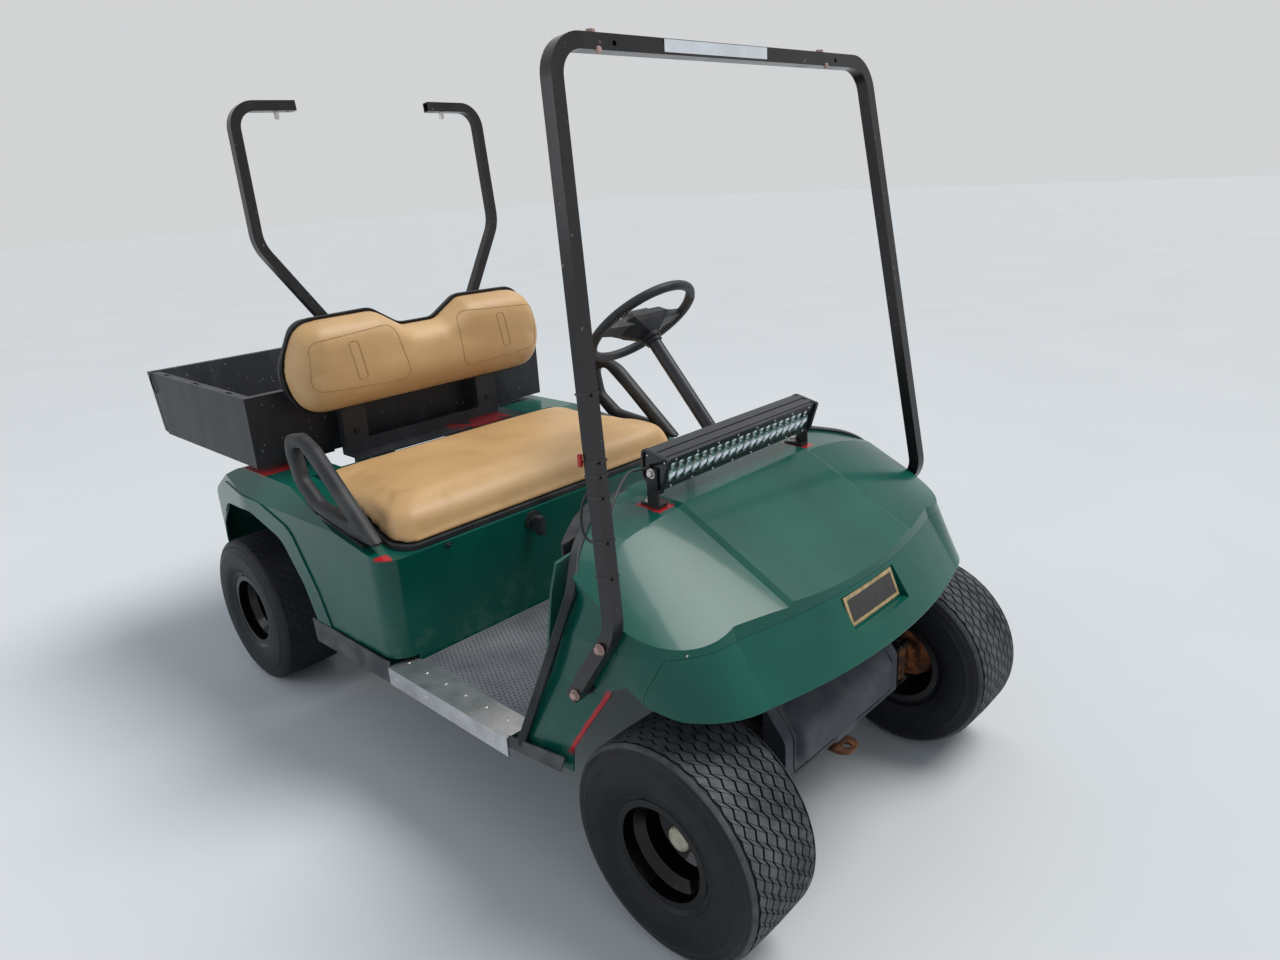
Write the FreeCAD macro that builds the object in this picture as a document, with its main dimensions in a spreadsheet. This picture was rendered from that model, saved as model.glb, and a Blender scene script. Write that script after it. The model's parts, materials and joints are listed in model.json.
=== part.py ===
import FreeCAD, Part
import math
import os
import Sketcher

# Two seat golf cart with a cargo box, in millimetres.
# +X is forward, +Y is the cart's left, +Z is up. The ground is at zero.

doc = FreeCAD.newDocument("golf_cart")
sheet = doc.addObject("Spreadsheet::Sheet", "Sizes")

# Columns: name, value in millimetres or degrees, what it measures.
SIZES = [
    ("front_axle_x", 1041, "front axle ahead of the origin"),
    ("wheelbase", 1678, "front axle to rear axle"),
    ("front_track", 900, "between the front wheels' middle planes"),
    ("rear_track", 956, "between the rear wheels' middle planes"),
    ("tyre_diameter", 457, "over the tread"),
    ("tyre_width", 216, "widest part of the sidewalls"),
    ("tread_width", 168, "flat part of the tread"),
    ("tyre_wall", 11, "thickness of the carcass"),
    ("rim_width", 178, "between the bead flanges"),
    ("rim_seat_radius", 101.5, "bead seat"),
    ("rim_flange_radius", 112, "edge of the rim"),
    ("rim_well_radius", 86, "drop centre"),
    ("rim_wall", 4, "sheet of the rim"),
    ("disc_offset", 8, "wheel disc's outer face inboard of the middle plane"),
    ("disc_wall", 5, "sheet of the wheel disc"),
    ("lug_circle_radius", 50.8, "four wheel studs"),
    ("lug_hole_radius", 7, "holes in the wheel disc"),
    ("hub_bore_radius", 13.3, "runs on the spindle"),
    ("hub_radius", 37, "barrel of the hub"),
    ("hub_flange_radius", 66, "flange behind the wheel disc"),
    ("cap_radius", 26, "dust cap"),
    ("drum_radius", 80, "rear brake drum"),
    ("kingpin_inset", 94, "kingpin inboard of the front wheel's middle plane"),
    ("kingpin_radius", 10, "kingpin"),
    ("knuckle_radius", 22, "upright tube of the knuckle"),
    ("knuckle_height", 90, "upright tube of the knuckle"),
    ("steer_arm_length", 110, "kingpin to tie rod stud, along X"),
    ("steer_arm_inset", 66, "tie rod stud inboard of the kingpin"),
    ("tie_rod_radius", 10, "tie rod"),
    ("beam_size", 44, "front axle beam, square"),
    ("clevis_wall", 10, "plates that hold the kingpin"),
    ("axle_tube_radius", 32, "rear axle tube"),
    ("running_gap", 0.3, "between a shaft and its bore"),
    ("rail_middle", 170, "side rail's middle from the centre line"),
    ("rail_width", 50, "side rail"),
    ("rail_bottom", 268, "underside of the side rails"),
    ("rail_height", 50, "side rail"),
    ("rail_overhang", 323, "side rails behind the rear axle"),
    ("spring_width", 44, "leaf springs"),
    ("leaf", 7, "one leaf's thickness"),
    ("eye_bore", 6, "spring eye's bore"),
    ("eye_radius", 14, "spring eye"),
    ("gear_y", 60, "steering gear's pinion from the centre line"),
    ("sill_inset", 17, "floor pan's edge inside the pod's side"),
    ("floor_sheet", 6, "floor pan"),
    ("mat_thickness", 6, "floor mat"),
    ("mat_inset", 55, "floor mat's edge inside the floor pan's"),
    ("toe_x", 650, "foot of the toe board"),
    ("toe_mid_x", 735, "toe board's bend"),
    ("toe_mid_z", 500, "toe board's bend"),
    ("toe_top_x", 790, "top of the toe board"),
    ("toe_top_z", 770, "top of the toe board"),
    ("pod_front_x", 208, "seat pod's front panel"),
    ("pod_overhang", 268, "seat pod's rear panel behind the rear axle"),
    ("pod_half_width", 577, "seat pod at the wheel arches"),
    ("pod_bottom", 345, "lower edge of the pod's sides"),
    ("pod_front_top", 606, "pod's rim at the front of the seat"),
    ("pod_deck", 690, "deck behind the seat"),
    ("pod_crease", 632, "crease along the pod's side"),
    ("pod_bevel", 52, "how far the pod leans in above the crease"),
    ("pod_wall", 5, "moulded wall of the pod"),
    ("pod_corner", 60, "rounded upright corners of the pod"),
    ("fender_inner", 350, "inner walls of the rear fenders from the centre line"),
    ("band_width", 72, "raised band round the rear wheel arch"),
    ("band_rise", 4, "raised band round the rear wheel arch"),
    ("bay_rear_x", -342, "rear edge of the bay under the seat"),
    ("bay_front_x", 150, "front edge of the bay under the seat"),
    ("bay_inset", 157, "bay under the seat inside the pod's side"),
    ("hinge_x", -290, "seat's hinge"),
    ("hinge_y", 330, "seat's hinges from the centre line"),
    ("hinge_z", 672, "seat's hinge"),
    ("hinge_pin", 4, "seat's hinge rod"),
    ("seat_front_x", 200, "front edge of the seat"),
    ("seat_rear_x", -296, "rear edge of the seat"),
    ("seat_inset", 57, "seat's front corners inside the pod's side"),
    ("seat_taper", 82, "how far each side of the seat runs in towards its rear"),
    ("seat_board", 12, "board under the cushion"),
    ("seat_top", 706, "top of the cushion"),
    ("post_middle", 244, "seat back post from the centre line"),
    ("post_width", 78, "seat back post"),
    ("post_depth", 30, "seat back post"),
    ("post_front_x", -424, "front face of the seat back posts"),
    ("post_top", 1050, "top of the seat back posts"),
    ("back_half_width", 466, "seat back"),
    ("back_bottom", 840, "seat back"),
    ("back_top", 1113, "seat back, at the two humps"),
    ("back_dip", 1056, "seat back, between the humps"),
    ("back_depth", 100, "seat back cushion"),
    ("shell_wall", 12, "shell behind the seat back cushion"),
    ("strut_size", 27, "square tube of the roof struts"),
    ("tube_wall", 3, "wall of the square tubes"),
    ("hoop_size", 27, "square tube of the front hoop"),
    ("roof_hole_radius", 4.5, "bolt holes for a roof"),
    ("roof_hole_front", 340, "roof holes in the front hoop from the centre line"),
    ("roof_hole_rear", 236, "roof holes in the rear struts from the centre line"),
    ("box_ahead", 146, "cargo box's front panel ahead of the rear axle"),
    ("box_behind", 524, "cargo box's floor behind the rear axle"),
    ("box_lean", 50, "cargo box's rear edge at the top behind its floor"),
    ("box_half_width", 529, "cargo box"),
    ("box_bottom", 706, "underside of the cargo box"),
    ("box_top", 909, "rim of the cargo box"),
    ("box_sheet", 3, "sheet of the cargo box"),
    ("box_rim", 26, "folded rim of the cargo box"),
    ("gate_gap", 6, "between the cargo box and its tailgate"),
    ("gate_depth", 20, "folded tailgate"),
    ("gate_pin_radius", 5, "tailgate's hinge rod"),
    ("wheel_x", 275, "steering wheel's middle"),
    ("wheel_y", 285, "steering wheel's middle"),
    ("wheel_z", 1050, "steering wheel's middle"),
    ("wheel_radius", 159, "steering wheel, to the middle of its rim"),
    ("wheel_grip", 13, "radius of the steering wheel's rim"),
    ("column_angle", 48.9, "steering column below the horizontal"),
    ("column_radius", 19, "steering column"),
    ("bar_half_length", 266, "lamp bar without its end caps"),
    ("bar_rear_x", 796, "lamp bar, rear top edge"),
    ("bar_top", 914, "lamp bar, rear top edge"),
    ("hood_wall", 4, "moulded wall of the cowl and the nose"),
    ("seam_z", 627, "seam between the cowl and the nose"),
    ("seam_gap", 0.7, "seam between the cowl and the nose"),
    ("seat_lift", 0.5, "under a piece that only rests on another"),
    ("shield_half_width", 230, "front shield"),
    ("shield_front_x", 1108, "front shield"),
    ("shield_bottom", 232, "front shield"),
    ("shield_top", 400, "front shield"),
    ("shield_wall", 4, "front shield"),
]


class Size:
    """A number together with the sheet's expression for it."""

    def __init__(self, value, text):
        self.value = float(value)
        self.text = text

    def __float__(self):
        return self.value

    def __neg__(self):
        return Size(-self.value, "(-1 * %s)" % self.text)

    def __add__(self, other):
        other = as_size(other)
        return Size(self.value + other.value, "(%s + %s)" % (self.text, other.text))

    def __radd__(self, other):
        return as_size(other) + self

    def __sub__(self, other):
        other = as_size(other)
        return Size(self.value - other.value, "(%s - %s)" % (self.text, other.text))

    def __rsub__(self, other):
        return as_size(other) - self

    def __mul__(self, other):
        other = as_size(other)
        return Size(self.value * other.value, "(%s * %s)" % (self.text, other.text))

    def __rmul__(self, other):
        return as_size(other) * self

    def __truediv__(self, other):
        other = as_size(other)
        return Size(self.value / other.value, "(%s / %s)" % (self.text, other.text))


def as_size(number):
    if isinstance(number, Size):
        return number
    return Size(number, "(%r)" % float(number))


class Sheet:
    """Fills the spreadsheet and gives each of its cells as an attribute."""

    def __init__(self, rows):
        for line, (alias, value, note) in enumerate(rows, start=1):
            sheet.set("A%d" % line, note)
            sheet.set("B%d" % line, str(value))
            sheet.setAlias("B%d" % line, alias)
            setattr(self, alias, Size(value, "Sizes." + alias))


s = Sheet(SIZES)
doc.recompute()

V = FreeCAD.Vector
nodes = []


# Helpers that make bound objects

def bind(obj, path, number):
    size = as_size(number)
    obj.setExpression(path, size.text)


def place(obj, x, y, z, axis=V(0, 0, 1), angle=0):
    obj.Placement = FreeCAD.Placement(V(float(x), float(y), float(z)), FreeCAD.Rotation(axis, float(angle)))
    bind(obj, "Placement.Base.x", x)
    bind(obj, "Placement.Base.y", y)
    bind(obj, "Placement.Base.z", z)
    if isinstance(angle, Size):
        bind(obj, "Placement.Rotation.Angle", angle)
    return obj


def box(x0, x1, y0, y1, z0, z1):
    obj = doc.addObject("Part::Box", "Block")
    bind(obj, "Length", x1 - x0)
    bind(obj, "Width", y1 - y0)
    bind(obj, "Height", z1 - z0)
    return place(obj, x0, y0, z0)


TURN = {"X": (V(0, 1, 0), 90), "Y": (V(1, 0, 0), -90), "Z": (V(0, 0, 1), 0)}


def cylinder(axis, radius, start, length, at):
    """A cylinder along an axis; start and length run along it, at gives the other two places."""
    obj = doc.addObject("Part::Cylinder", "Round")
    bind(obj, "Radius", radius)
    bind(obj, "Height", length)
    spot = {"X": (start, at[0], at[1]), "Y": (at[0], start, at[1]), "Z": (at[0], at[1], start)}[axis]
    turn_axis, turn = TURN[axis]
    return place(obj, spot[0], spot[1], spot[2], turn_axis, turn)


def ring(axis, radius, bore, start, length, at):
    return cut(cylinder(axis, radius, start, length, at),
               cylinder(axis, bore, start - 1, length + 2, at))


def cut(base, *tools):
    for tool in tools:
        obj = doc.addObject("Part::Cut", "Cut")
        obj.Base = base
        obj.Tool = tool
        base = obj
    return base


def fuse(*parts):
    obj = doc.addObject("Part::MultiFuse", "Fusion")
    obj.Shapes = list(parts)
    obj.Refine = True
    return obj


def common(*parts):
    obj = doc.addObject("Part::MultiCommon", "Common")
    obj.Shapes = list(parts)
    return obj


def mirrored(part):
    obj = doc.addObject("Part::Mirroring", "Mirror")
    obj.Source = part
    obj.Normal = V(0, 1, 0)
    return obj


def group(*parts):
    obj = doc.addObject("Part::Compound", "Set")
    obj.Links = list(parts)
    return obj


def both_sides(part):
    return group(part, mirrored(part))


def feature(shape):
    obj = doc.addObject("Part::Feature", "Form")
    obj.Shape = shape
    return obj


def node(obj, name):
    obj.Label = name
    nodes.append(obj)
    return obj


# Sketches. A corner is (across, up) or (across, up, rounding radius).

def corner_geometry(corners):
    """Points where the lines and arcs of a closed outline with rounded corners meet."""
    points = [V(float(c[0]), float(c[1]), 0) for c in corners]
    radii = [float(c[2]) if len(c) > 2 else 0 for c in corners]
    count = len(points)
    meets = []
    for i in range(count):
        before = (points[i - 1] - points[i]).normalize()
        after = (points[(i + 1) % count] - points[i]).normalize()
        if radii[i] == 0:
            meets.append((points[i], None, points[i]))
            continue
        half = before.getAngle(after) / 2
        reach = radii[i] / math.tan(half)
        middle = (before + after).normalize()
        centre = points[i] + middle * (radii[i] / math.sin(half))
        meets.append((points[i] + before * reach, centre - middle * radii[i], points[i] + after * reach))
    return points, radii, meets


def draw(sketch, corners):
    """Adds a closed outline to a sketch and ties each corner to the sheet."""
    points, radii, meets = corner_geometry(corners)
    count = len(points)
    lines = []
    for i in range(count):
        start = meets[i][2]
        end = meets[(i + 1) % count][0]
        lines.append(sketch.addGeometry(Part.LineSegment(start, end), False))

    def tie(index, place_on, corner):
        for kind, number in (("DistanceX", corner[0]), ("DistanceY", corner[1])):
            made = sketch.addConstraint(Sketcher.Constraint(kind, -1, 1, index, place_on, float(number)))
            bind(sketch, "Constraints[%d]" % made, number)

    for i in range(count):
        before = lines[i - 1]
        after = lines[i]
        if radii[i] == 0:
            sketch.addConstraint(Sketcher.Constraint("Coincident", before, 2, after, 1))
            tie(after, 1, corners[i])
            continue
        arc = sketch.addGeometry(Part.Arc(meets[i][0], meets[i][1], meets[i][2]), False)
        turn = (meets[i][1] - meets[i][0]).cross(meets[i][2] - meets[i][1]).z
        first, last = (1, 2) if turn > 0 else (2, 1)
        spot = sketch.addGeometry(Part.Point(points[i]), True)
        tie(spot, 1, corners[i])
        sketch.addConstraint(Sketcher.Constraint("PointOnObject", spot, 1, before))
        sketch.addConstraint(Sketcher.Constraint("PointOnObject", spot, 1, after))
        sketch.addConstraint(Sketcher.Constraint("Tangent", before, 2, arc, first))
        sketch.addConstraint(Sketcher.Constraint("Tangent", arc, last, after, 1))
        made = sketch.addConstraint(Sketcher.Constraint("Radius", arc, radii[i]))
        bind(sketch, "Constraints[%d]" % made, corners[i][2])


PLANES = {
    "XY": (FreeCAD.Rotation(), V(0, 0, 1)),
    "XZ": (FreeCAD.Rotation(V(1, 0, 0), 90), V(0, 1, 0)),
    "YZ": (FreeCAD.Rotation(V(1, 1, 1), 120), V(1, 0, 0)),
}


def outline(plane, corners, level=0):
    sketch = doc.addObject("Sketcher::SketchObject", "Outline")
    turn, normal = PLANES[plane]
    sketch.Placement = FreeCAD.Placement(normal * float(level), turn)
    across = {"XY": "z", "XZ": "y", "YZ": "x"}[plane]
    bind(sketch, "Placement.Base.%s" % across, level)
    draw(sketch, corners)
    return sketch


def extrude(plane, corners, start, end):
    obj = doc.addObject("Part::Extrusion", "Profile")
    obj.Base = outline(plane, corners, start)
    obj.DirMode = "Custom"
    obj.Dir = PLANES[plane][1]
    bind(obj, "LengthFwd", end - start)
    obj.Solid = True
    return obj


def across_both(plane, corners, half):
    return extrude(plane, corners, -half, half)


def mirror_corners(corners):
    """Completes an outline that is given for its positive half, across zero."""
    left = [(-c[0],) + tuple(c[1:]) for c in reversed(corners)]
    return list(corners) + left


def body(name):
    return doc.addObject("PartDesign::Body", name)


def plane_of(part, role):
    for item in part.Origin.OriginFeatures:
        if item.Role == role:
            return item
    raise ValueError("no plane " + role)


def body_sketch(part, role, corners):
    sketch = part.newObject("Sketcher::SketchObject", "Outline")
    sketch.AttachmentSupport = (plane_of(part, role), [""])
    sketch.MapMode = "FlatFace"
    if corners:
        draw(sketch, corners)
    return sketch


def revolved(part, corners):
    """Turns an outline in the YZ plane round the body's Y axis."""
    made = part.newObject("PartDesign::Revolution", "Turned")
    made.Profile = body_sketch(part, "YZ_Plane", corners)
    made.ReferenceAxis = (made.Profile[0], ["H_Axis"])
    made.Angle = 360
    return made


# Paths for tubes: straight runs joined by tangent arcs

def path_wire(points, radii):
    """A wire through points; each inner point is rounded with its own radius."""
    edges = []
    start = points[0]
    for i in range(1, len(points) - 1):
        before = (points[i - 1] - points[i]).normalize()
        after = (points[i + 1] - points[i]).normalize()
        half = before.getAngle(after) / 2
        reach = radii[i - 1] / math.tan(half)
        middle = (before + after).normalize()
        centre = points[i] + middle * (radii[i - 1] / math.sin(half))
        first = points[i] + before * reach
        last = points[i] + after * reach
        edges.append(Part.LineSegment(start, first).toShape())
        edges.append(Part.Arc(first, centre - middle * radii[i - 1], last).toShape())
        start = last
    edges.append(Part.LineSegment(start, points[-1]).toShape())
    return Part.Wire(edges)


def square_wire(centre, normal, side_axis, size):
    across = side_axis.cross(normal).normalize()
    along = normal.cross(across).normalize()
    half = size / 2
    turns = [(1, 1), (-1, 1), (-1, -1), (1, -1), (1, 1)]
    return Part.makePolygon([centre + along * half * a + across * half * b for a, b in turns])


def square_tube(points, radii, size, wall, side_axis):
    path = path_wire(points, radii)
    normal = points[1] - points[0]
    outer = path.makePipeShell([square_wire(points[0], normal, side_axis, size)], True, False)
    if wall == 0:
        return outer
    inner = path.makePipeShell([square_wire(points[0], normal, side_axis, size - 2 * wall)], True, False)
    return outer.cut(inner)


def round_tube(points, radii, radius):
    path = path_wire(points, radii)
    circle = Part.Wire([Part.Circle(points[0], points[1] - points[0], radius).toShape()])
    return path.makePipeShell([circle], True, False)


# Places that several pieces share

wheel_radius = s.tyre_diameter / 2
rear_axle_x = s.front_axle_x - s.wheelbase
front_plane = s.front_track / 2
rear_plane = s.rear_track / 2
kingpin_y = front_plane - s.kingpin_inset
rail_top = s.rail_bottom + s.rail_height
rail_front_x = s.shield_front_x - s.shield_wall
floor_top = rail_top + s.floor_sheet
rail_inner = s.rail_middle - s.rail_width / 2
rail_outer = s.rail_middle + s.rail_width / 2
beam_bottom = wheel_radius - s.beam_size / 2
beam_top = wheel_radius + s.beam_size / 2
knuckle_bottom = wheel_radius - s.knuckle_height / 2
knuckle_top = wheel_radius + s.knuckle_height / 2
floor_half = s.pod_half_width - s.sill_inset
mat_half = floor_half - s.mat_inset
rail_rear_x = rear_axle_x - s.rail_overhang
pod_rear_x = rear_axle_x - s.pod_overhang
bay_half = s.pod_half_width - s.bay_inset
seat_front_half = s.pod_half_width - s.seat_inset
seat_rear_half = seat_front_half - s.seat_taper
box_front_x = rear_axle_x + s.box_ahead
box_rear_x = rear_axle_x - s.box_behind
box_rear_top_x = box_rear_x - s.box_lean


# Wheels

def tyre(name, x, y, side):
    """A hollow tyre, open to the rim. side is 1 on the left and -1 on the right."""
    part = body("Tyre")
    bead = s.rim_width / 2
    bulge = s.tyre_width / 2
    tread = s.tread_width / 2
    wall = s.tyre_wall
    outer = [
        (bead, s.rim_seat_radius),
        (bead, s.rim_flange_radius + 6, 5),
        (bulge, s.rim_flange_radius + 34, 26),
        (bulge - 3, wheel_radius - 34, 30),
        (tread + 12, wheel_radius - 9, 14),
        (tread, wheel_radius - 2),
        (0, wheel_radius),
    ]
    outer_left = [(-c[0],) + tuple(c[1:]) for c in reversed(outer[:-1])]
    inner = [
        (-bead + wall, s.rim_seat_radius),
        (-bead + wall, s.rim_flange_radius + 10),
        (-bulge + wall, s.rim_flange_radius + 38),
        (-bulge + wall, wheel_radius - 36),
        (-tread, wheel_radius - wall - 4),
        (tread, wheel_radius - wall - 4),
        (bulge - wall, wheel_radius - 36),
        (bulge - wall, s.rim_flange_radius + 38),
        (bead - wall, s.rim_flange_radius + 10),
        (bead - wall, s.rim_seat_radius),
    ]
    revolved(part, outer + outer_left + inner)
    place(part, x, side * y, wheel_radius)
    return node(part, name)


def rim(name, x, y, side, front):
    """A deep steel rim with its disc, its studs' holes and the hub behind it."""
    part = body("Rim")
    seat = s.rim_seat_radius
    wall = s.rim_wall
    bead = s.rim_width / 2
    well = s.rim_well_radius
    disc = -s.disc_offset
    disc_back = disc - s.disc_wall
    bore = s.hub_bore_radius
    if front:
        hub_back = disc_back - 44
        drum = s.hub_radius
        drum_front = disc_back - 20
        nose_end = disc + 34
        spindle_end = disc + 12
    else:
        hub_back = disc_back - 66
        drum = s.drum_radius
        drum_front = disc_back - 12
        nose_end = disc + 14
        spindle_end = disc - 6
    corners = [
        (hub_back, bore),
        (spindle_end, bore),
        (spindle_end, 0),
        (nose_end, 0),
        (nose_end, s.cap_radius - 8),
        (nose_end - 8, s.cap_radius),
        (disc + 8, s.cap_radius),
        (disc + 8, s.cap_radius + 6),
        (disc, s.cap_radius + 6),
        (disc, well - wall - 14),
        (disc + 14, well - wall),
        (bead / 2, well - wall),
        (bead - 25, seat - wall),
        (bead + wall, seat - wall),
        (bead + wall, s.rim_flange_radius),
        (bead, s.rim_flange_radius),
        (bead, seat),
        (bead - 27, seat),
        (bead / 2 - 2, well),
        (-bead / 2 + 2, well),
        (-bead + 27, seat),
        (-bead, seat),
        (-bead, s.rim_flange_radius),
        (-bead - wall, s.rim_flange_radius),
        (-bead - wall, seat - wall),
        (-bead + 25, seat - wall),
        (-bead / 2, well - wall),
        (disc_back + 6, well - wall),
        (disc_back, well - wall - 12),
        (disc_back, s.hub_flange_radius),
        (drum_front, s.hub_flange_radius),
        (drum_front, drum),
        (hub_back, drum),
    ]
    if not front:
        corners = [c for c in corners if c is not corners[28]]
        corners[27] = (disc_back, well - wall)
    revolved(part, corners)
    doc.recompute()
    holes = part.newObject("PartDesign::Pocket", "Holes")
    sketch = body_sketch(part, "XZ_Plane", [])
    sketch.addGeometry(Part.Circle(V(0, float(s.lug_circle_radius), 0), V(0, 0, 1), float(s.lug_hole_radius)))
    sketch.addConstraint(Sketcher.Constraint("PointOnObject", 0, 3, -2))
    for kind, spot, number in (("DistanceY", (-1, 1, 0, 3), s.lug_circle_radius),
                               ("Radius", (0,), s.lug_hole_radius)):
        made = sketch.addConstraint(Sketcher.Constraint(kind, *spot, float(number)))
        bind(sketch, "Constraints[%d]" % made, number)
    holes.Profile = sketch
    holes.Type = 0
    holes.Midplane = True
    bind(holes, "Length", (s.disc_offset + s.disc_wall + 6) * 2)
    pattern = part.newObject("PartDesign::PolarPattern", "Pattern")
    pattern.Originals = [holes]
    pattern.Axis = (plane_of(part, "Y_Axis"), [""])
    pattern.Angle = 360
    pattern.Occurrences = 4
    part.Tip = pattern
    place(part, x, side * y, wheel_radius, V(0, 0, 1), 0 if side > 0 else 180)
    return node(part, name)


# Columns: name, axle place, half track, side, steered
WHEELS = [
    ("front_right", s.front_axle_x, front_plane, -1, True),
    ("front_left", s.front_axle_x, front_plane, 1, True),
    ("rear_right", rear_axle_x, rear_plane, -1, False),
    ("rear_left", rear_axle_x, rear_plane, 1, False),
]
for wheel_name, axle_x, half_track, side, steered in WHEELS:
    tyre("tyre_" + wheel_name, axle_x, half_track, side)
    rim("rim_" + wheel_name, axle_x, half_track, side, steered)


# Front axle, knuckles and tie rod

def front_axle():
    beam_end = kingpin_y - s.knuckle_radius - 8
    beam = box(s.front_axle_x - s.beam_size / 2, s.front_axle_x + s.beam_size / 2, -beam_end, beam_end,
               beam_bottom, beam_top)
    gap = s.running_gap
    upper = box(s.front_axle_x - s.knuckle_radius, s.front_axle_x + s.knuckle_radius, beam_end - 30,
                kingpin_y + s.knuckle_radius, knuckle_top + gap, knuckle_top + gap + s.clevis_wall)
    lower = box(s.front_axle_x - s.knuckle_radius, s.front_axle_x + s.knuckle_radius, beam_end - 30,
                kingpin_y + s.knuckle_radius, knuckle_bottom - gap - s.clevis_wall, knuckle_bottom - gap)
    web = box(s.front_axle_x - s.knuckle_radius, s.front_axle_x + s.knuckle_radius, beam_end - 30, beam_end,
              knuckle_bottom - gap - s.clevis_wall, knuckle_top + gap + s.clevis_wall)
    pin = cylinder("Z", s.kingpin_radius, knuckle_bottom - s.clevis_wall - 8, s.knuckle_height + 2 * s.clevis_wall + 16,
                   (s.front_axle_x, kingpin_y))
    room = box(s.front_axle_x - s.knuckle_radius - 1, s.front_axle_x + 6, beam_end - 31, beam_end + 1, knuckle_bottom,
               beam_bottom)
    end = fuse(upper, lower, cut(web, room), pin)
    return node(fuse(beam, end, mirrored(end)), "front_axle")


front_axle()

arm_x = s.front_axle_x - s.steer_arm_length
arm_y = kingpin_y - s.steer_arm_inset
arm_bottom = knuckle_bottom + 5.5
arm_wall = 10
stud_bottom = arm_bottom - 14
rod_top = stud_bottom - s.running_gap
rod_z = rod_top - s.tie_rod_radius - 2
gear_member_x = arm_x + 30


def knuckle():
    """The left knuckle: upright tube, spindle, steering arm and its stud."""
    upright = cylinder("Z", s.knuckle_radius, knuckle_bottom, s.knuckle_height, (s.front_axle_x, kingpin_y))
    spindle_root = kingpin_y + s.knuckle_radius - 4
    shoulder = cylinder("Y", 20, spindle_root - 8, 16, (s.front_axle_x, wheel_radius))
    spindle = cylinder("Y", s.hub_bore_radius - s.running_gap, spindle_root, s.kingpin_inset - s.knuckle_radius + 4
                       - s.disc_offset + 10, (s.front_axle_x, wheel_radius))
    arm = extrude("XY", [
        (s.front_axle_x, kingpin_y + 15),
        (arm_x, arm_y + 15),
        (arm_x - 15, arm_y),
        (arm_x, arm_y - 15),
        (s.front_axle_x, kingpin_y - 15),
    ], arm_bottom, arm_bottom + arm_wall)
    stud = cylinder("Z", 8, stud_bottom, 14 + arm_wall, (arm_x, arm_y))
    solid = fuse(upright, shoulder, spindle, arm, stud)
    bore = cylinder("Z", s.kingpin_radius + s.running_gap, knuckle_bottom - 1, s.knuckle_height + 2,
                    (s.front_axle_x, kingpin_y))
    return cut(solid, bore)


left_knuckle = node(knuckle(), "knuckle_left")
node(mirrored(left_knuckle), "knuckle_right")


def tie_rod():
    rod = cylinder("Y", s.tie_rod_radius, -arm_y, 2 * arm_y, (arm_x, rod_z))
    eye = cylinder("Z", 17, rod_top - 26, 26, (arm_x, arm_y))
    return node(fuse(rod, eye, mirrored(eye)), "tie_rod")


tie_rod()


def leaf_pack(axle_x, under, front_reach, rear_reach, rise, leaves):
    """One spring from the side: leaves of falling length under the axle, with rolled eyes."""
    y0 = s.rail_middle - s.spring_width / 2
    y1 = s.rail_middle + s.spring_width / 2
    parts = []
    for i in range(leaves):
        share = 1 - 0.28 * i
        top = under - s.leaf * i
        ahead = front_reach * share
        behind = rear_reach * share
        up = rise * share * share
        seat = min(float(front_reach), float(rear_reach)) * 0.5
        parts.append(extrude("XZ", [
            (axle_x + ahead, top + up),
            (axle_x + seat, top),
            (axle_x - seat, top),
            (axle_x - behind, top + up),
            (axle_x - behind, top + up - s.leaf),
            (axle_x - seat, top - s.leaf),
            (axle_x + seat, top - s.leaf),
            (axle_x + ahead, top + up - s.leaf),
        ], y0, y1))
    ends = (axle_x + front_reach, axle_x - rear_reach)
    for end in ends:
        parts.append(cylinder("Y", s.eye_radius, y0, s.spring_width, (end, under + rise)))
    bores = [cylinder("Y", s.eye_bore, y0 - 1, s.spring_width + 2, (end, under + rise)) for end in ends]
    return cut(fuse(*parts), *bores)


front_spring_rear = 300
front_spring_ahead = 44
rear_spring_reach = 285
spring_rise = 30
front_spring = leaf_pack(s.front_axle_x, beam_bottom, as_size(front_spring_ahead), as_size(front_spring_rear),
                         as_size(spring_rise), 2)
rear_spring = leaf_pack(rear_axle_x, wheel_radius - s.axle_tube_radius, as_size(rear_spring_reach),
                        as_size(rear_spring_reach), as_size(spring_rise), 3)
node(group(front_spring, mirrored(front_spring), rear_spring, mirrored(rear_spring)), "leaf_springs")


def rear_axle():
    tube_end = rear_plane - s.disc_offset - s.disc_wall - 66 - 5
    tube = cylinder("Y", s.axle_tube_radius, -tube_end, 2 * tube_end, (rear_axle_x, wheel_radius))
    spindle = cylinder("Y", s.hub_bore_radius - s.running_gap, -tube_end - 60, 2 * tube_end + 120,
                       (rear_axle_x, wheel_radius))
    case = cylinder("Y", 88, -50, 100, (rear_axle_x, wheel_radius))
    link = box(rear_axle_x - 150, rear_axle_x, 0, 46, wheel_radius - 44, wheel_radius + 66)
    motor = cylinder("Y", 78, -128, 240, (rear_axle_x - 150, wheel_radius + 14))
    return node(fuse(tube, spindle, case, link, motor), "rear_axle")


rear_axle()


# Frame

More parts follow.
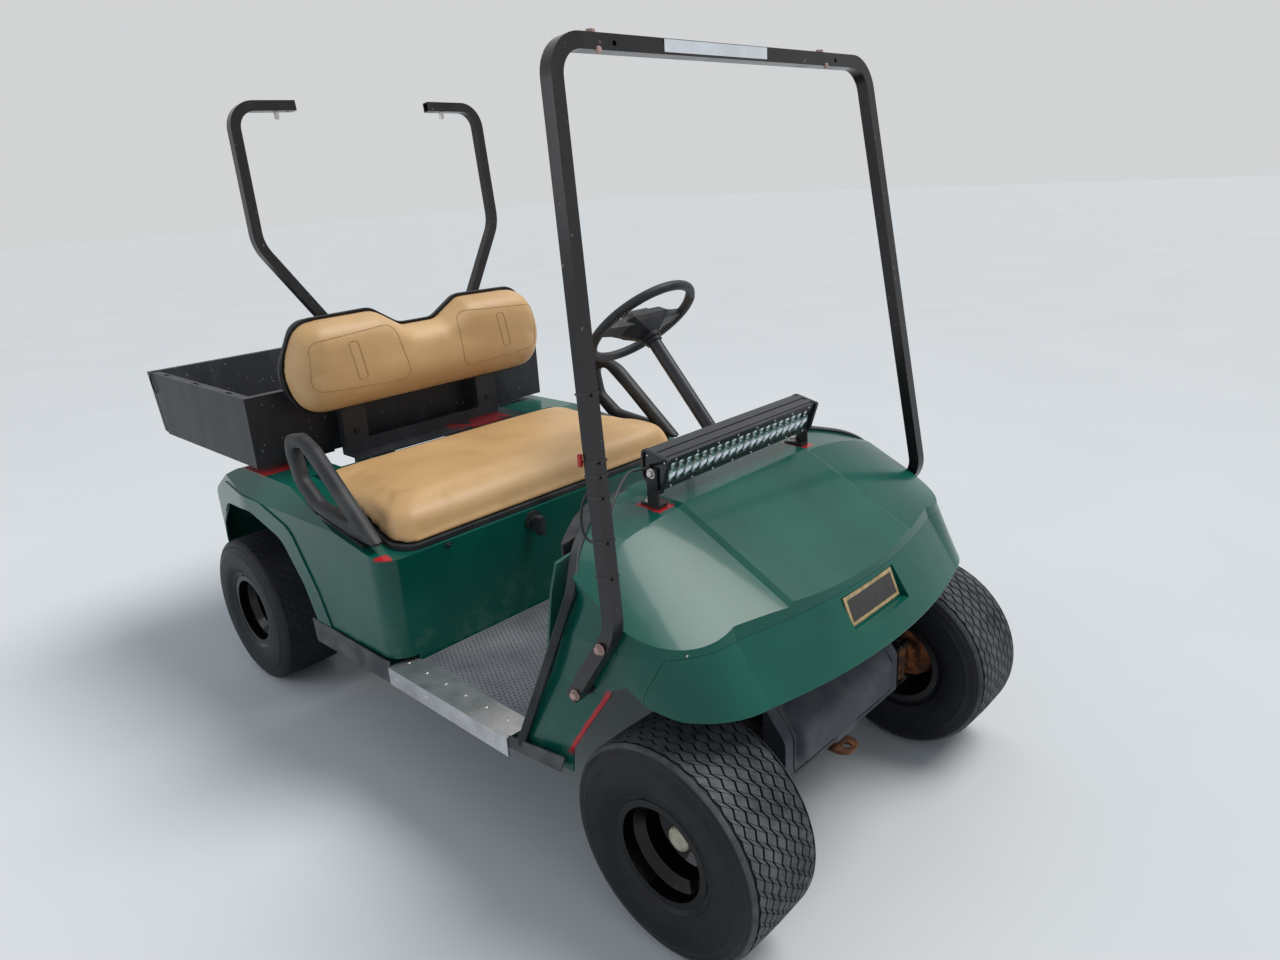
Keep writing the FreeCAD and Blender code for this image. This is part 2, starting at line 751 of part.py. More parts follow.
def frame():
    rail = box(rail_rear_x, rail_front_x, rail_inner, rail_outer, s.rail_bottom, rail_top)
    parts = [rail, mirrored(rail)]
    for x in (rail_rear_x, rear_axle_x + 300, as_size(60), s.toe_x, gear_member_x, rail_front_x - 40):
        parts.append(box(x, x + 40, -rail_inner, rail_inner, s.rail_bottom, rail_top))
    for x in (as_size(-205), as_size(180), s.toe_x - 40):
        outrigger = box(x, x + 36, rail_outer, floor_half - 20, rail_top - 30, rail_top)
        parts += [outrigger, mirrored(outrigger)]
    hanger_ends = [
        (s.front_axle_x + front_spring_ahead, beam_bottom + spring_rise),
        (s.front_axle_x - front_spring_rear, beam_bottom + spring_rise),
        (rear_axle_x + rear_spring_reach, wheel_radius - s.axle_tube_radius + spring_rise),
        (rear_axle_x - rear_spring_reach, wheel_radius - s.axle_tube_radius + spring_rise),
    ]
    for x, z in hanger_ends:
        for y in (s.rail_middle - s.spring_width / 2 - 5.3, s.rail_middle + s.spring_width / 2 + 0.3):
            cheek = box(x - 14, x + 14, y, y + 5, z - 14, s.rail_bottom + 6)
            parts += [cheek, mirrored(cheek)]
        bolt = cylinder("Y", s.eye_bore - s.running_gap, s.rail_middle - s.spring_width / 2 - 8,
                        s.spring_width + 16, (x, z))
        parts += [bolt, mirrored(bolt)]
    return node(fuse(*parts), "frame")


frame()


# Mat, sills and rockers

node(box(s.pod_front_x + 6, s.toe_x - 6, -mat_half, mat_half, floor_top, floor_top + s.mat_thickness),
     "floor_mat")

rocker_wall = 4
rocker_y = floor_half + 14
sill_x0 = as_size(184)
sill_x1 = s.toe_x - 4


def rockers():
    plate = extrude("XZ", [
        (-203, s.pod_bottom - s.seat_lift),
        (-196, 277),
        (500, 292),
        (812, 326),
        (828, 366),
        (sill_x1 + 2, 338),
        (sill_x1 + 2, 326),
        (sill_x0 - 2, 326),
        (sill_x0 - 2, s.pod_bottom - s.seat_lift),
    ], rocker_y, rocker_y + rocker_wall)
    flange = box(as_size(-190), s.toe_x, floor_half - 20, rocker_y + 1, rail_top - 12, rail_top)
    return node(both_sides(fuse(plate, flange)), "rockers")


rockers()


def sill_strips():
    top = floor_top + s.mat_thickness
    strip = extrude("YZ", [
        (mat_half + 1, floor_top),
        (mat_half + 1, top + 3),
        (rocker_y + rocker_wall + 4, top + 3),
        (rocker_y + rocker_wall + 4, 287),
        (rocker_y + rocker_wall + 0.3, 287),
        (rocker_y + rocker_wall + 0.3, top),
        (rocker_y - 20, top),
        (rocker_y - 20, floor_top),
    ], sill_x0, sill_x1)
    return node(both_sides(strip), "sill_strips")


sill_strips()


# Seat pod: the body that carries the seat and covers the rear wheels

def pod_form(inset, floor):
    """Side, plan and front outlines of the pod, met in one solid; inset thins it for the inside."""
    side = across_both("XZ", [
        (s.pod_front_x - inset, floor),
        (s.pod_front_x - inset, s.pod_front_top - inset),
        (s.seat_rear_x - 10, s.pod_deck - inset),
        (pod_rear_x + 290, s.pod_deck - inset, 130),
        (pod_rear_x + 50 + inset, s.pod_deck - 116 - inset, 90),
        (pod_rear_x + inset, s.pod_bottom + 90),
        (pod_rear_x + inset, floor),
    ], s.pod_half_width + 20)
    front = extrude("YZ", mirror_corners([
        (s.pod_half_width - 2 - inset, floor),
        (s.pod_half_width - inset, s.pod_crease - inset, 14),
        (s.pod_half_width - s.pod_bevel - inset, s.pod_deck + 2 - inset, 10),
        (s.pod_half_width - s.pod_bevel - 60, s.pod_deck + 12 - inset),
    ]), pod_rear_x - 20, s.pod_front_x + 20)
    corner = s.pod_corner - inset
    plan = extrude("XY", [
        (s.pod_front_x - inset, s.pod_half_width - 10 - inset, corner),
        (rear_axle_x + 120, s.pod_half_width - inset, 400),
        (pod_rear_x + inset, s.pod_half_width - 62 - inset, corner),
        (pod_rear_x + inset, -s.pod_half_width + 62 + inset, corner),
        (rear_axle_x + 120, -s.pod_half_width + inset, 400),
        (s.pod_front_x - inset, -s.pod_half_width + 10 + inset, corner),
    ], floor - 10, s.pod_deck + 30)
    return common(side, front, plan)


def arch_outline(share):
    """The rear wheel arch from the side; share 1 gives the outer edge of the raised band round it."""
    grow = s.band_width * share
    low = s.pod_bottom - 20
    return [
        (rear_axle_x + 472 + grow, low),
        (rear_axle_x + 420 + grow, s.pod_bottom + 95, 60),
        (rear_axle_x + 330 + grow * 0.8, s.pod_bottom + 206 + grow * 0.6, 90),
        (rear_axle_x + 150, s.pod_bottom + 252 + grow * 0.8, 150),
        (rear_axle_x - 80, s.pod_bottom + 218 + grow, 140),
        (rear_axle_x - 200, s.pod_bottom + 122 + grow, 80),
        (rear_axle_x - 246 - grow * 0.2, s.pod_bottom + 10),
        (rear_axle_x - 248 - grow * 0.2, low),
    ]


def seat_hinges():
    """Two ears a side on the wall behind the bay, with the rod that the seat turns on."""
    hinge = [cylinder("Y", s.hinge_pin, s.hinge_y - 24, 48, (s.hinge_x, s.hinge_z))]
    for y in (s.hinge_y - 24, s.hinge_y + 20):
        hinge.append(cylinder("Y", 8, y, 4, (s.hinge_x, s.hinge_z)))
        hinge.append(extrude("XZ", [
            (s.bay_rear_x - 1, s.hinge_z - 44),
            (s.bay_rear_x - 1, s.hinge_z - 8),
            (s.hinge_x, s.hinge_z - 6),
            (s.hinge_x + 6, s.hinge_z - 4),
        ], y, y + 4))
    return hinge + [mirrored(part) for part in hinge]


def seat_pod():
    outer = pod_form(as_size(0), s.pod_bottom)
    well_half = s.fender_inner
    partition_x = s.bay_rear_x - s.pod_wall
    inner = cut(pod_form(s.pod_wall, s.pod_bottom - 12),
                box(pod_rear_x - 20, partition_x + s.pod_wall, -well_half - s.pod_wall, well_half + s.pod_wall,
                    s.pod_bottom - 30, s.pod_deck + 20))
    well = box(pod_rear_x - 20, partition_x, -well_half, well_half, s.pod_bottom - 30, s.pod_deck + 20)
    bay = fuse(box(s.bay_rear_x, s.bay_front_x, -bay_half, bay_half, s.pod_bottom, s.pod_deck + 20),
               box(s.bay_rear_x, s.seat_rear_x + 44, -seat_rear_half - 8, seat_rear_half + 8, s.pod_deck - 60,
                   s.pod_deck + 20))
    arch = across_both("XZ", arch_outline(0), s.pod_half_width + 30)
    keep = box(pod_rear_x - 1, s.pod_front_x + 1, -well_half - s.pod_wall, well_half + s.pod_wall,
               s.pod_bottom - 40, s.pod_deck)
    band = cut(common(pod_form(as_size(-s.band_rise), s.pod_bottom), across_both("XZ", arch_outline(1),
                                                                                s.pod_half_width + 30)),
               box(pod_rear_x - 30, s.pod_front_x, -s.pod_half_width + 40, s.pod_half_width - 40,
                   s.pod_bottom - 40, s.pod_deck + 40),
               box(pod_rear_x - 30, s.pod_front_x, -s.pod_half_width - 30, s.pod_half_width + 30,
                   s.pod_crease + 4, s.pod_deck + 40))
    skirt = box(s.pod_front_x - s.pod_wall, s.pod_front_x, -mat_half, mat_half,
                floor_top + s.running_gap, s.pod_bottom + 10)
    return node(fuse(cut(fuse(outer, band), inner, well, bay, cut(arch, keep)), skirt, *seat_hinges()), "seat_pod")


seat_pod()
node(box(as_size(-200), as_size(160), as_size(-300), as_size(300), floor_top, floor_top + 250), "battery_pack")


# Seat: board, cushion and arm rests, which lift together

def seat_plan(inset):
    return [
        (s.seat_front_x - inset, seat_front_half - inset, 60),
        (s.seat_rear_x + inset, seat_rear_half - inset, 50),
        (s.seat_rear_x + inset, -seat_rear_half + inset, 50),
        (s.seat_front_x - inset, -seat_front_half + inset, 60),
    ]


def seat_line(x):
    """Height of the pod's rim, which slopes up to the deck, at a place along the seat."""
    run = s.pod_front_x - (s.seat_rear_x - 10)
    return s.pod_front_top + (s.pod_deck - s.pod_front_top) * (s.pod_front_x - x) / run


seat_low = s.seat_lift
seat_x0 = s.seat_rear_x - 20
seat_x1 = s.seat_front_x + 20


def seat_slab(low, high, half):
    return across_both("XZ", [
        (seat_x1, seat_line(seat_x1) + low),
        (seat_x1, seat_line(seat_x1) + high),
        (seat_x0, seat_line(seat_x0) + high),
        (seat_x0, seat_line(seat_x0) + low),
    ], half)


def seat_base():
    """The board under the cushion, with an ear each side that carries an arm rest."""
    board = common(seat_slab(seat_low, seat_low + s.seat_board, seat_front_half + 20),
                   extrude("XY", seat_plan(as_size(0)), s.pod_front_top - 40, s.seat_top + 60))
    ears = common(seat_slab(seat_low, seat_low + ear_wall, seat_front_half + armrest_width),
                  box(as_size(-100), as_size(110), -seat_front_half - armrest_width,
                      seat_front_half + armrest_width, s.pod_front_top - 40, s.seat_top))
    tab = box(s.hinge_x - 7, s.hinge_x + 7, s.hinge_y - 18, s.hinge_y + 18, s.hinge_z, seat_line(s.hinge_x) + 4)
    knuckle_round = cylinder("Y", 8, s.hinge_y - 18, 36, (s.hinge_x, s.hinge_z))
    solid = fuse(board, ears, tab, mirrored(tab), knuckle_round, mirrored(knuckle_round))
    bore = cylinder("Y", s.hinge_pin + s.running_gap, s.hinge_y - 19, 38, (s.hinge_x, s.hinge_z))
    return node(cut(solid, bore, mirrored(bore)), "seat_base")


def seat_cushion():
    cushion_low = seat_low + s.seat_board
    slab = across_both("XZ", [
        (seat_x1, seat_line(seat_x1) + cushion_low),
        (s.seat_front_x - 2, s.seat_top - 8, 34),
        (seat_x0, s.seat_top + 8),
        (seat_x0, seat_line(seat_x0) + cushion_low),
    ], seat_front_half + 20)
    return node(common(slab, extrude("XY", seat_plan(as_size(3)), s.pod_front_top - 40, s.seat_top + 60)),
                "seat_cushion")


armrest_width = as_size(38)
ear_wall = 8
seat_board = seat_base()
seat_cushion()


def armrests():
    inner_y = seat_front_half + 4
    loop = extrude("XZ", [
        (170, 634),
        (60, 724, 30),
        (-80, 846, 60),
        (-140, 872, 40),
        (-226, 852, 20),
        (-230, 810, 30),
        (-204, 724, 40),
        (-126, 660, 60),
        (-14, 638, 60),
    ], inner_y, inner_y + 34)
    hole = extrude("XZ", [
        (60, 672),
        (-60, 776, 20),
        (-140, 836, 24),
        (-192, 822, 16),
        (-170, 740, 30),
        (-100, 690, 40),
    ], inner_y - 6, inner_y + 46)
    below = extrude("XZ", [
        (seat_x1, seat_line(seat_x1) + seat_low + ear_wall),
        (seat_x0, seat_line(seat_x0) + seat_low + ear_wall),
        (seat_x0, seat_line(seat_x0) - 100),
        (seat_x1, seat_line(seat_x1) - 100),
    ], inner_y - 6, inner_y + 46)
    return node(both_sides(cut(loop, hole, below)), "armrests")


armrests()


# Seat back

def seat_back_posts():
    post = box(s.post_front_x - s.post_depth, s.post_front_x, s.post_middle - s.post_width / 2,
               s.post_middle + s.post_width / 2, s.pod_deck, s.post_top)
    post_outer = s.post_middle + s.post_width / 2
    plate = box(s.post_front_x - s.post_depth, s.bay_rear_x - 10, -post_outer, post_outer, s.pod_deck, s.pod_deck + 5)
    bar = box(s.post_front_x - 6, s.post_front_x, -post_outer, post_outer, s.pod_deck, s.pod_deck + 42)
    leg = box(s.post_front_x - s.post_depth, s.post_front_x, rail_inner, rail_outer, rail_top, s.pod_deck + 1)
    parts = [post, mirrored(post), plate, bar, leg, mirrored(leg)]
    return node(fuse(*parts), "seat_back_posts")


seat_back_posts()


def back_outline(inset):
    return mirror_corners([
        (60, s.back_dip - inset, 60),
        (150, s.back_top - inset, 60),
        (s.back_half_width - 76, s.back_top - 4 - inset, 60),
        (s.back_half_width - inset, s.back_bottom + 120, 120),
        (s.back_half_width - 70, s.back_bottom + inset, 60),
    ])


shell_front_x = s.post_front_x + s.shell_wall
node(extrude("YZ", back_outline(as_size(0)), s.post_front_x, shell_front_x), "seat_back_shell")
node(extrude("YZ", back_outline(as_size(4)), shell_front_x, shell_front_x + s.back_depth), "seat_back_cushion")


# Roof struts behind the seat and the hoop in front

def roof_struts():
    strut_x = s.post_front_x - s.post_depth - s.strut_size / 2
    points = [
        V(float(strut_x), 244, 730),
        V(float(strut_x), 240, 1060),
        V(-501, 402, 1312),
        V(-528, 396, 1667),
        V(-531, 216, 1670),
    ]
    strut = square_tube(points, [60, 110, 60], float(s.strut_size), float(s.tube_wall), V(0, 1, 0))
    hole = cylinder("Z", s.roof_hole_radius, as_size(1650), 40, (as_size(-530.7), s.roof_hole_rear))
    return node(both_sides(cut(feature(strut), hole)), "roof_struts")


roof_struts()


# Cargo box and tailgate

lean = (box_rear_x - box_rear_top_x) / (s.box_top - s.box_bottom)


def cargo_box():
    sheet_z = s.box_bottom + s.box_sheet
    floor = box(box_rear_x, box_front_x, -s.box_half_width, s.box_half_width, s.box_bottom, sheet_z)
    front = box(box_front_x - s.box_sheet, box_front_x, -s.box_half_width, s.box_half_width, s.box_bottom,
                s.box_top)
    side = extrude("XZ", [
        (box_front_x, s.box_bottom),
        (box_front_x, s.box_top),
        (box_rear_top_x, s.box_top),
        (box_rear_x, s.box_bottom),
    ], s.box_half_width - s.box_sheet, s.box_half_width)
    rim_z = s.box_top - s.box_sheet
    side_rim = box(box_rear_top_x + 20, box_front_x, s.box_half_width - s.box_rim, s.box_half_width, rim_z,
                   s.box_top)
    front_rim = box(box_front_x - s.box_rim, box_front_x, -s.box_half_width, s.box_half_width, rim_z, s.box_top)
    slots = []
    for x in (-1120, -880, -640):
        slots.append(box(as_size(x), as_size(x + 44), s.box_half_width - 18, s.box_half_width - 9, rim_z - 1,
                         s.box_top + 1))
    left = cut(fuse(side, side_rim), *slots)
    return node(fuse(floor, front, front_rim, left, mirrored(left), *hinge_lugs()), "cargo_box")


# The hinge rod lies behind and under the floor's rear edge, at the gate's lower outer corner.
hinge_x = box_rear_x - s.gate_gap - s.gate_depth
hinge_z = s.box_bottom + 4


def hinge_lugs():
    parts = []
    rod = cylinder("Y", s.gate_pin_radius, -s.box_half_width + 40, 2 * s.box_half_width - 80, (hinge_x, hinge_z))
    for y in (s.box_half_width - 60, as_size(60)):
        lug = box(hinge_x - 8, box_rear_x + 60, y, y + 12, hinge_z - 22, s.box_bottom)
        ear = box(hinge_x - 8, hinge_x + 8, y, y + 12, hinge_z - 22, hinge_z + 8)
        parts += [lug, mirrored(lug), ear, mirrored(ear)]
    parts.append(rod)
    return parts


cargo_box()


def tailgate():
    base_x = hinge_x
    rise = s.box_top - s.box_bottom - 6
    panel = across_both("XZ", [
        (base_x, hinge_z + 2),
        (base_x + s.gate_depth, hinge_z + 2),
        (base_x + s.gate_depth - lean * rise, hinge_z + 2 + rise),
        (base_x - lean * rise, hinge_z + 2 + rise),
    ], s.box_half_width)
    parts = [panel]
    for y in (as_size(100), s.box_half_width - 140):
        barrel = cylinder("Y", 9, y, 70, (hinge_x, hinge_z))
        parts += [barrel, mirrored(barrel)]
    solid = fuse(*parts)
    bore = cylinder("Y", s.gate_pin_radius + s.running_gap, -s.box_half_width - 1, 2 * s.box_half_width + 2,
                    (hinge_x, hinge_z))
    notches = []
    for y in (s.box_half_width - 60, as_size(60)):
        notch = box(hinge_x - 30, hinge_x + 30, y - 5, y + 17, hinge_z - 30, hinge_z + 16)
        notches += [notch, mirrored(notch)]
    return node(cut(solid, bore, *notches), "tailgate")


tailgate()


def box_mounts():
    runner = box(box_rear_x + 20, box_front_x - 20, as_size(280), as_size(320), s.pod_deck, s.box_bottom)
    stay = extrude("XZ", [
        (rail_rear_x + 10, rail_top),
        (rail_rear_x + 50, rail_top),
        (box_rear_x + 80, s.box_bottom - 16),
        (box_rear_x + 40, s.box_bottom - 16),
    ], rail_outer - 30, rail_outer)
    tie = box(box_rear_x + 40, box_rear_x + 80, rail_outer - 30, as_size(320), s.box_bottom - 16, s.box_bottom)
    front_leg = box(box_front_x - 70, box_front_x - 40, rail_inner + 10, rail_outer, rail_top, s.box_bottom)
    front_tie = box(box_front_x - 70, box_front_x - 40, rail_inner + 10, as_size(320), s.box_bottom - 16,
                    s.box_bottom)
    side = fuse(runner, stay, tie, front_leg, front_tie)
    return node(both_sides(side), "box_mounts")


box_mounts()


# Cowl and nose. The top is a loft along the cart, the sides a loft in height; their common is the form.

def top_section(x, crown, fall, inset):
    """Upright section of the cowl's top: flat middle, a small step, then an arc that falls to the side."""
    z = crown - inset
    step = 7
    half_flat = 224
    edge = 620
    mid = 440
    points = [V(x, half_flat, z), V(x, half_flat + 14, z - step)]
    side_mid = V(x, mid, z - step - fall * ((mid - 230.0) / 270) ** 2)
    side_end = V(x, edge, z - step - fall * ((edge - 230.0) / 270) ** 2)
    low = 100
    right = [V(p.x, -p.y, p.z) for p in (side_end, side_mid, points[1], points[0])]
    edges = [
        Part.LineSegment(right[3], points[0]).toShape(),
        Part.LineSegment(points[0], points[1]).toShape(),
        Part.Arc(points[1], side_mid, side_end).toShape(),
        Part.LineSegment(side_end, V(x, edge, low)).toShape(),
        Part.LineSegment(V(x, edge, low), V(x, -edge, low)).toShape(),
        Part.LineSegment(V(x, -edge, low), right[0]).toShape(),
        Part.Arc(right[0], right[1], right[2]).toShape(),
        Part.LineSegment(right[2], right[3]).toShape(),
    ]
    return Part.Wire(edges)


# Columns: place along the cart, height of the middle, fall of the side at 500 from the centre line
COWL_TOP = [
    (600, 802, 20),
    (745, 802, 20),
    (853, 797, 46),
    (1000, 720, 44),
    (1147, 642, 40),
    (1270, 577, 40),
]


def plan_section(z, front_x, front_half, side_x, side_half, rear_half, inset):
    """Level section: straight sides, rounded front corners and a shallow front arc."""
    rear_x = 600
    sagitta = 50
    nose_x = front_x - inset
    f_half = front_half - inset
    s_half = side_half - inset
    r_half = rear_half - inset
    s_x = side_x - inset
    corner = V(nose_x - sagitta, f_half, z)
    side = V(s_x, s_half, z)
    chord = corner - side
    out = V(-chord.y, chord.x, 0).normalize()
    if out.x < 0:
        out = -out
    middle = (corner + side) * 0.5 + out * chord.Length * 0.2

    def flip(p):
        return V(p.x, -p.y, p.z)

    edges = [
        Part.LineSegment(V(rear_x, -r_half, z), V(rear_x, r_half, z)).toShape(),
        Part.LineSegment(V(rear_x, r_half, z), side).toShape(),
        Part.Arc(side, middle, corner).toShape(),
        Part.Arc(corner, V(nose_x, 0, z), flip(corner)).toShape(),
        Part.Arc(flip(corner), flip(middle), flip(side)).toShape(),
        Part.LineSegment(flip(side), V(rear_x, -r_half, z)).toShape(),
    ]
    return Part.Wire(edges)


# Columns: height, front, half width of the front arc, place and half width where the side ends, half width at the rear
COWL_PLAN = [
    (270, 1232, 372, 990, 560, 574),
    (515, 1226, 372, 985, 524, 556),
    (627, 1150, 372, 965, 541, 545),
    (830, 1090, 350, 930, 512, 520),
]


def cowl_form(inset):
    top = Part.makeLoft([top_section(x, crown, fall, inset) for x, crown, fall in COWL_TOP], True, True)
    plan = Part.makeLoft([plan_section(*row, inset) for row in COWL_PLAN], True, True)
    return top.common(plan)


def prism(plane, points, start, end):
    """An upright or level prism between two places, from numbers."""
    put = {
        "XY": lambda a, b: V(a, b, start),
        "XZ": lambda a, b: V(a, start, b),
    }[plane]
    along = {"XY": V(0, 0, end - start), "XZ": V(0, end - start, 0)}[plane]
    corners = [put(a, b) for a, b in points]
    return Part.Face(Part.makePolygon(corners + corners[:1])).extrude(along)


def plate_recess(grow):
    """The sunk field for the plate, with a ledge below it; grow widens it by the wall."""
    half = 104 + grow
    return prism("XZ", [
        (1149 - grow, 619 + grow), (1176 - grow, 555 - grow), (1260, 555 - grow), (1260, 619 + grow),
    ], -half, half)


def cowl_shell():
    wall = float(s.hood_wall)
    outer = cowl_form(0).cut(plate_recess(0))
    inner = cowl_form(wall).cut(plate_recess(wall))
    return outer.cut(inner)


def cowl_and_nose():
    shell = cowl_shell()
    seam = float(s.seam_z)
    # The cockpit's opening: behind the side's leaning edge, and behind the dash's curved edge.
    behind = prism("XZ", [(500, 250), (688, 250), (690, 345), (860, 716), (500, 716)], -700, 700)
    dash_edge = prism("XY", [
        (500, -640), (905, -640), (860, -548), (800, -478), (743, -388), (705, -290), (695, -200),
        (695, 200), (705, 290), (743, 388), (800, 478), (860, 548), (905, 640), (500, 640),
    ], 715.9, 900)
    # The wheel arches: everything under the lower edge, ahead of the side panels.
    low_edge = float(floor_top + s.running_gap)
    arch = prism("XZ", [
        (600, 200), (600, low_edge), (829, low_edge), (829, 372), (870, 440), (930, 532), (968, 556), (1010, 530), (1080, 516), (1300, 512), (1300, 200),
    ], -700, 700)
    shell = shell.cut(behind).cut(dash_edge).cut(arch)
    gap = float(s.seam_gap)
    low = prism("XZ", [(1400, seam), (1046, seam), (1008, 545), (990, 400), (1400, 400)], -700, 700)
    split = prism("XZ", [(1400, seam + gap), (1046 - gap, seam + gap), (1008 - gap, 545), (990 - gap, 400), (1400, 400)],
                  -700, 700)
    nose = shell.common(low)
    cowl = shell.cut(split)
    node(feature(cowl), "cowl")
    node(feature(nose), "nose")


cowl_and_nose()


# The steering wheel and its column are made along their own axis and then leaned over.

def lean_over(shape):
    turn = FreeCAD.Rotation(V(0, 1, 0), 90 + float(s.column_angle))
    spot = V(float(s.wheel_x), float(s.wheel_y), float(s.wheel_z))
    placed = feature(shape)
    placed.Placement = FreeCAD.Placement(spot, turn)
    return placed


def column_rod(radius, start, length):
    """A rod round the column's axis, from a distance below the steering wheel."""
    return lean_over(Part.makeCylinder(radius, length, V(0, 0, start)))


# Floor pan with the toe board, and the hoop on the cowl

def floor_pan():
    rear = box(as_size(-205), s.toe_x, -floor_half, floor_half, rail_top, floor_top)
    sheet_x = s.floor_sheet
    board = extrude("XZ", [
        (s.toe_x - 20, rail_top),
        (s.toe_x, rail_top),
        (s.toe_mid_x + sheet_x, s.toe_mid_z),
        (s.toe_top_x + sheet_x, s.toe_top_z),
        (s.toe_top_x, s.toe_top_z),
        (s.toe_mid_x, s.toe_mid_z + 2),
        (s.toe_x - 2, floor_top),
        (s.toe_x - 20, floor_top),
    ], -floor_half + 30, floor_half - 30)
    inside = feature(cowl_form(float(s.hood_wall + s.running_gap)))
    sheet = fuse(rear, common(board, inside))
    return node(cut(sheet, column_rod(float(s.column_radius + s.running_gap), 500, 400)), "floor_pan")


floor_sheet = floor_pan()
# Columns: place along the cart and height of the two bolts in each foot of the hoop
HOOP_BOLTS = [
    (874, 525),
    (953, 649),
]


def front_hoop():
    points = [
        V(858, 560, 511),
        V(975, 557, 683),
        V(836, 475, 1648),
        V(836, -475, 1648),
        V(975, -557, 683),
        V(858, -560, 511),
    ]
    hoop = square_tube(points, [70, 62, 62, 70], float(s.hoop_size), float(s.tube_wall), V(0, 1, 0))
    skin = cowl_form(-float(s.running_gap))
    spacers = []
    for x, z in HOOP_BOLTS:
        spacer = Part.makeCylinder(12, 36, V(x, 512, z), V(0, 1, 0)).cut(skin)
        spacers += [spacer, spacer.mirror(V(), V(0, 1, 0))]
    solid = feature(hoop.fuse(spacers))
    hole = cylinder("X", s.roof_hole_radius, as_size(816), 40, (s.roof_hole_front, as_size(1648)))
    return node(cut(solid, hole, mirrored(hole)), "front_hoop")


front_hoop()


def dash_panel():
    side = across_both("XZ", [
        (694, 800),
        (660, 780, 12),
        (652, 700, 12),
        (676, 640),
        (762, 640),
        (764, 800),
    ], 480)
    plan = extrude("XY", [
        (640, -200),
        (655, -290),
        (700, -388),
        (758, -478),
        (766, -478),
        (766, 478),
        (758, 478),
        (700, 388),
        (655, 290),
        (640, 200),
    ], as_size(630), as_size(810))
    solid = common(side, plan, feature(cowl_form(float(s.hood_wall + s.running_gap))))
    pocket = box(640, as_size(745), as_size(60), as_size(190), as_size(664), as_size(764))
    wide = box(640, as_size(745), as_size(-440), as_size(-90), as_size(664), as_size(764))
    side_pocket = box(640, as_size(745), as_size(350), as_size(445), as_size(664), as_size(764))
    return node(cut(solid, pocket, wide, side_pocket), "dash_panel")


dash_panel()


def front_shield():
    wall = s.shield_wall
    plate = across_both("XZ", [
        (s.shield_front_x, s.shield_bottom),
        (s.shield_front_x, s.shield_bottom + 98, 12),
        (s.shield_front_x - 56, s.shield_top),
        (s.shield_front_x - 56 - wall, s.shield_top - 2),
        (s.shield_front_x - wall, s.shield_bottom + 96, 8),
        (s.shield_front_x - wall, s.shield_bottom),
    ], s.shield_half_width)
    bulge = across_both("XZ", [
        (s.shield_front_x - 2, s.shield_bottom + 20),
        (s.shield_front_x + 16, s.shield_bottom + 34, 10),
        (s.shield_front_x + 14, s.shield_bottom + 104, 16),
        (s.shield_front_x - 40, s.shield_top - 16),
        (s.shield_front_x - 50, s.shield_top - 12),
        (s.shield_front_x - 2, s.shield_bottom + 100),
    ], s.shield_half_width - 40)
    cheek = extrude("XZ", [
        (s.shield_front_x - 1, s.shield_bottom),
        (s.shield_front_x - 1, s.shield_bottom + 96),
        (s.shield_front_x - 56, s.shield_top - 4),
        (s.shield_front_x - 56, s.shield_bottom + 60),
    ], s.shield_half_width - wall, s.shield_half_width)
    return node(fuse(plate, bulge, cheek, mirrored(cheek)), "front_shield")


front_shield()


def tow_eye():
    lug = extrude("XY", [
        (s.shield_front_x - 40, -34),
        (s.shield_front_x + 26, -34, 30),
        (s.shield_front_x + 26, 34, 30),
        (s.shield_front_x - 40, 34),
    ], as_size(196), as_size(204))
    post = box(s.shield_front_x - 42, s.shield_front_x - 30, -34, as_size(34), as_size(196), s.rail_bottom)
    hole = cylinder("Z", 11, as_size(190), 20, (s.shield_front_x + 4, as_size(0)))
    return node(cut(fuse(lug, post), hole), "tow_eye")


tow_eye()


# Steering wheel, column and gear

def eight_sided(half_across, half_along, corner, height):
    """A level rectangle with its corners cut off, as a wire."""
    quarter = [(half_across, half_along - corner), (half_across - corner, half_along)]
    half = quarter + [(-x, y) for x, y in reversed(quarter)]
    points = [V(x, y, height) for x, y in half + [(-x, -y) for x, y in half]]
    return Part.makePolygon(points + points[:1])


# Columns: height down the column, half width, half length along the spokes, cut corner
HUB_SECTIONS = [
    (-16, 38, 74, 20),
    (4, 48, 92, 26),
    (18, 44, 80, 26),
    (46, 25, 30, 12),
]
# Columns: place along the spoke, half width, upper and lower face
SPOKE_SECTIONS = [
    (66, 34, -8, 20),
    (112, 22, -8, 12),
    (152, 19, -7, 7),
]


def steering_wheel():
    """Drawn with +Z down the column from the middle of the rim."""
    rim_ring = Part.makeTorus(float(s.wheel_radius), float(s.wheel_grip))
    hub = Part.makeLoft([eight_sided(across, along, corner, height)
                         for height, across, along, corner in HUB_SECTIONS], True, True)
    collar = Part.makeCylinder(24, 34, V(0, 0, 36))
    step = Part.makeCylinder(29, 12, V(0, 0, 46))
    clip = Part.makeBox(36, 80, 14, V(-22, -52, -29))
    spoke = Part.makeLoft([Part.makePolygon([V(half, y, top), V(-half, y, top), V(-half, y, low), V(half, y, low),
                                             V(half, y, top)])
                           for y, half, top, low in SPOKE_SECTIONS], True, True)
    other = spoke.mirror(V(), V(0, 1, 0))
    return node(lean_over(rim_ring.fuse([hub, collar, step, clip, spoke, other])), "steering_wheel")


steering_wheel()

wheel_collar_end = 70
column_end = 733


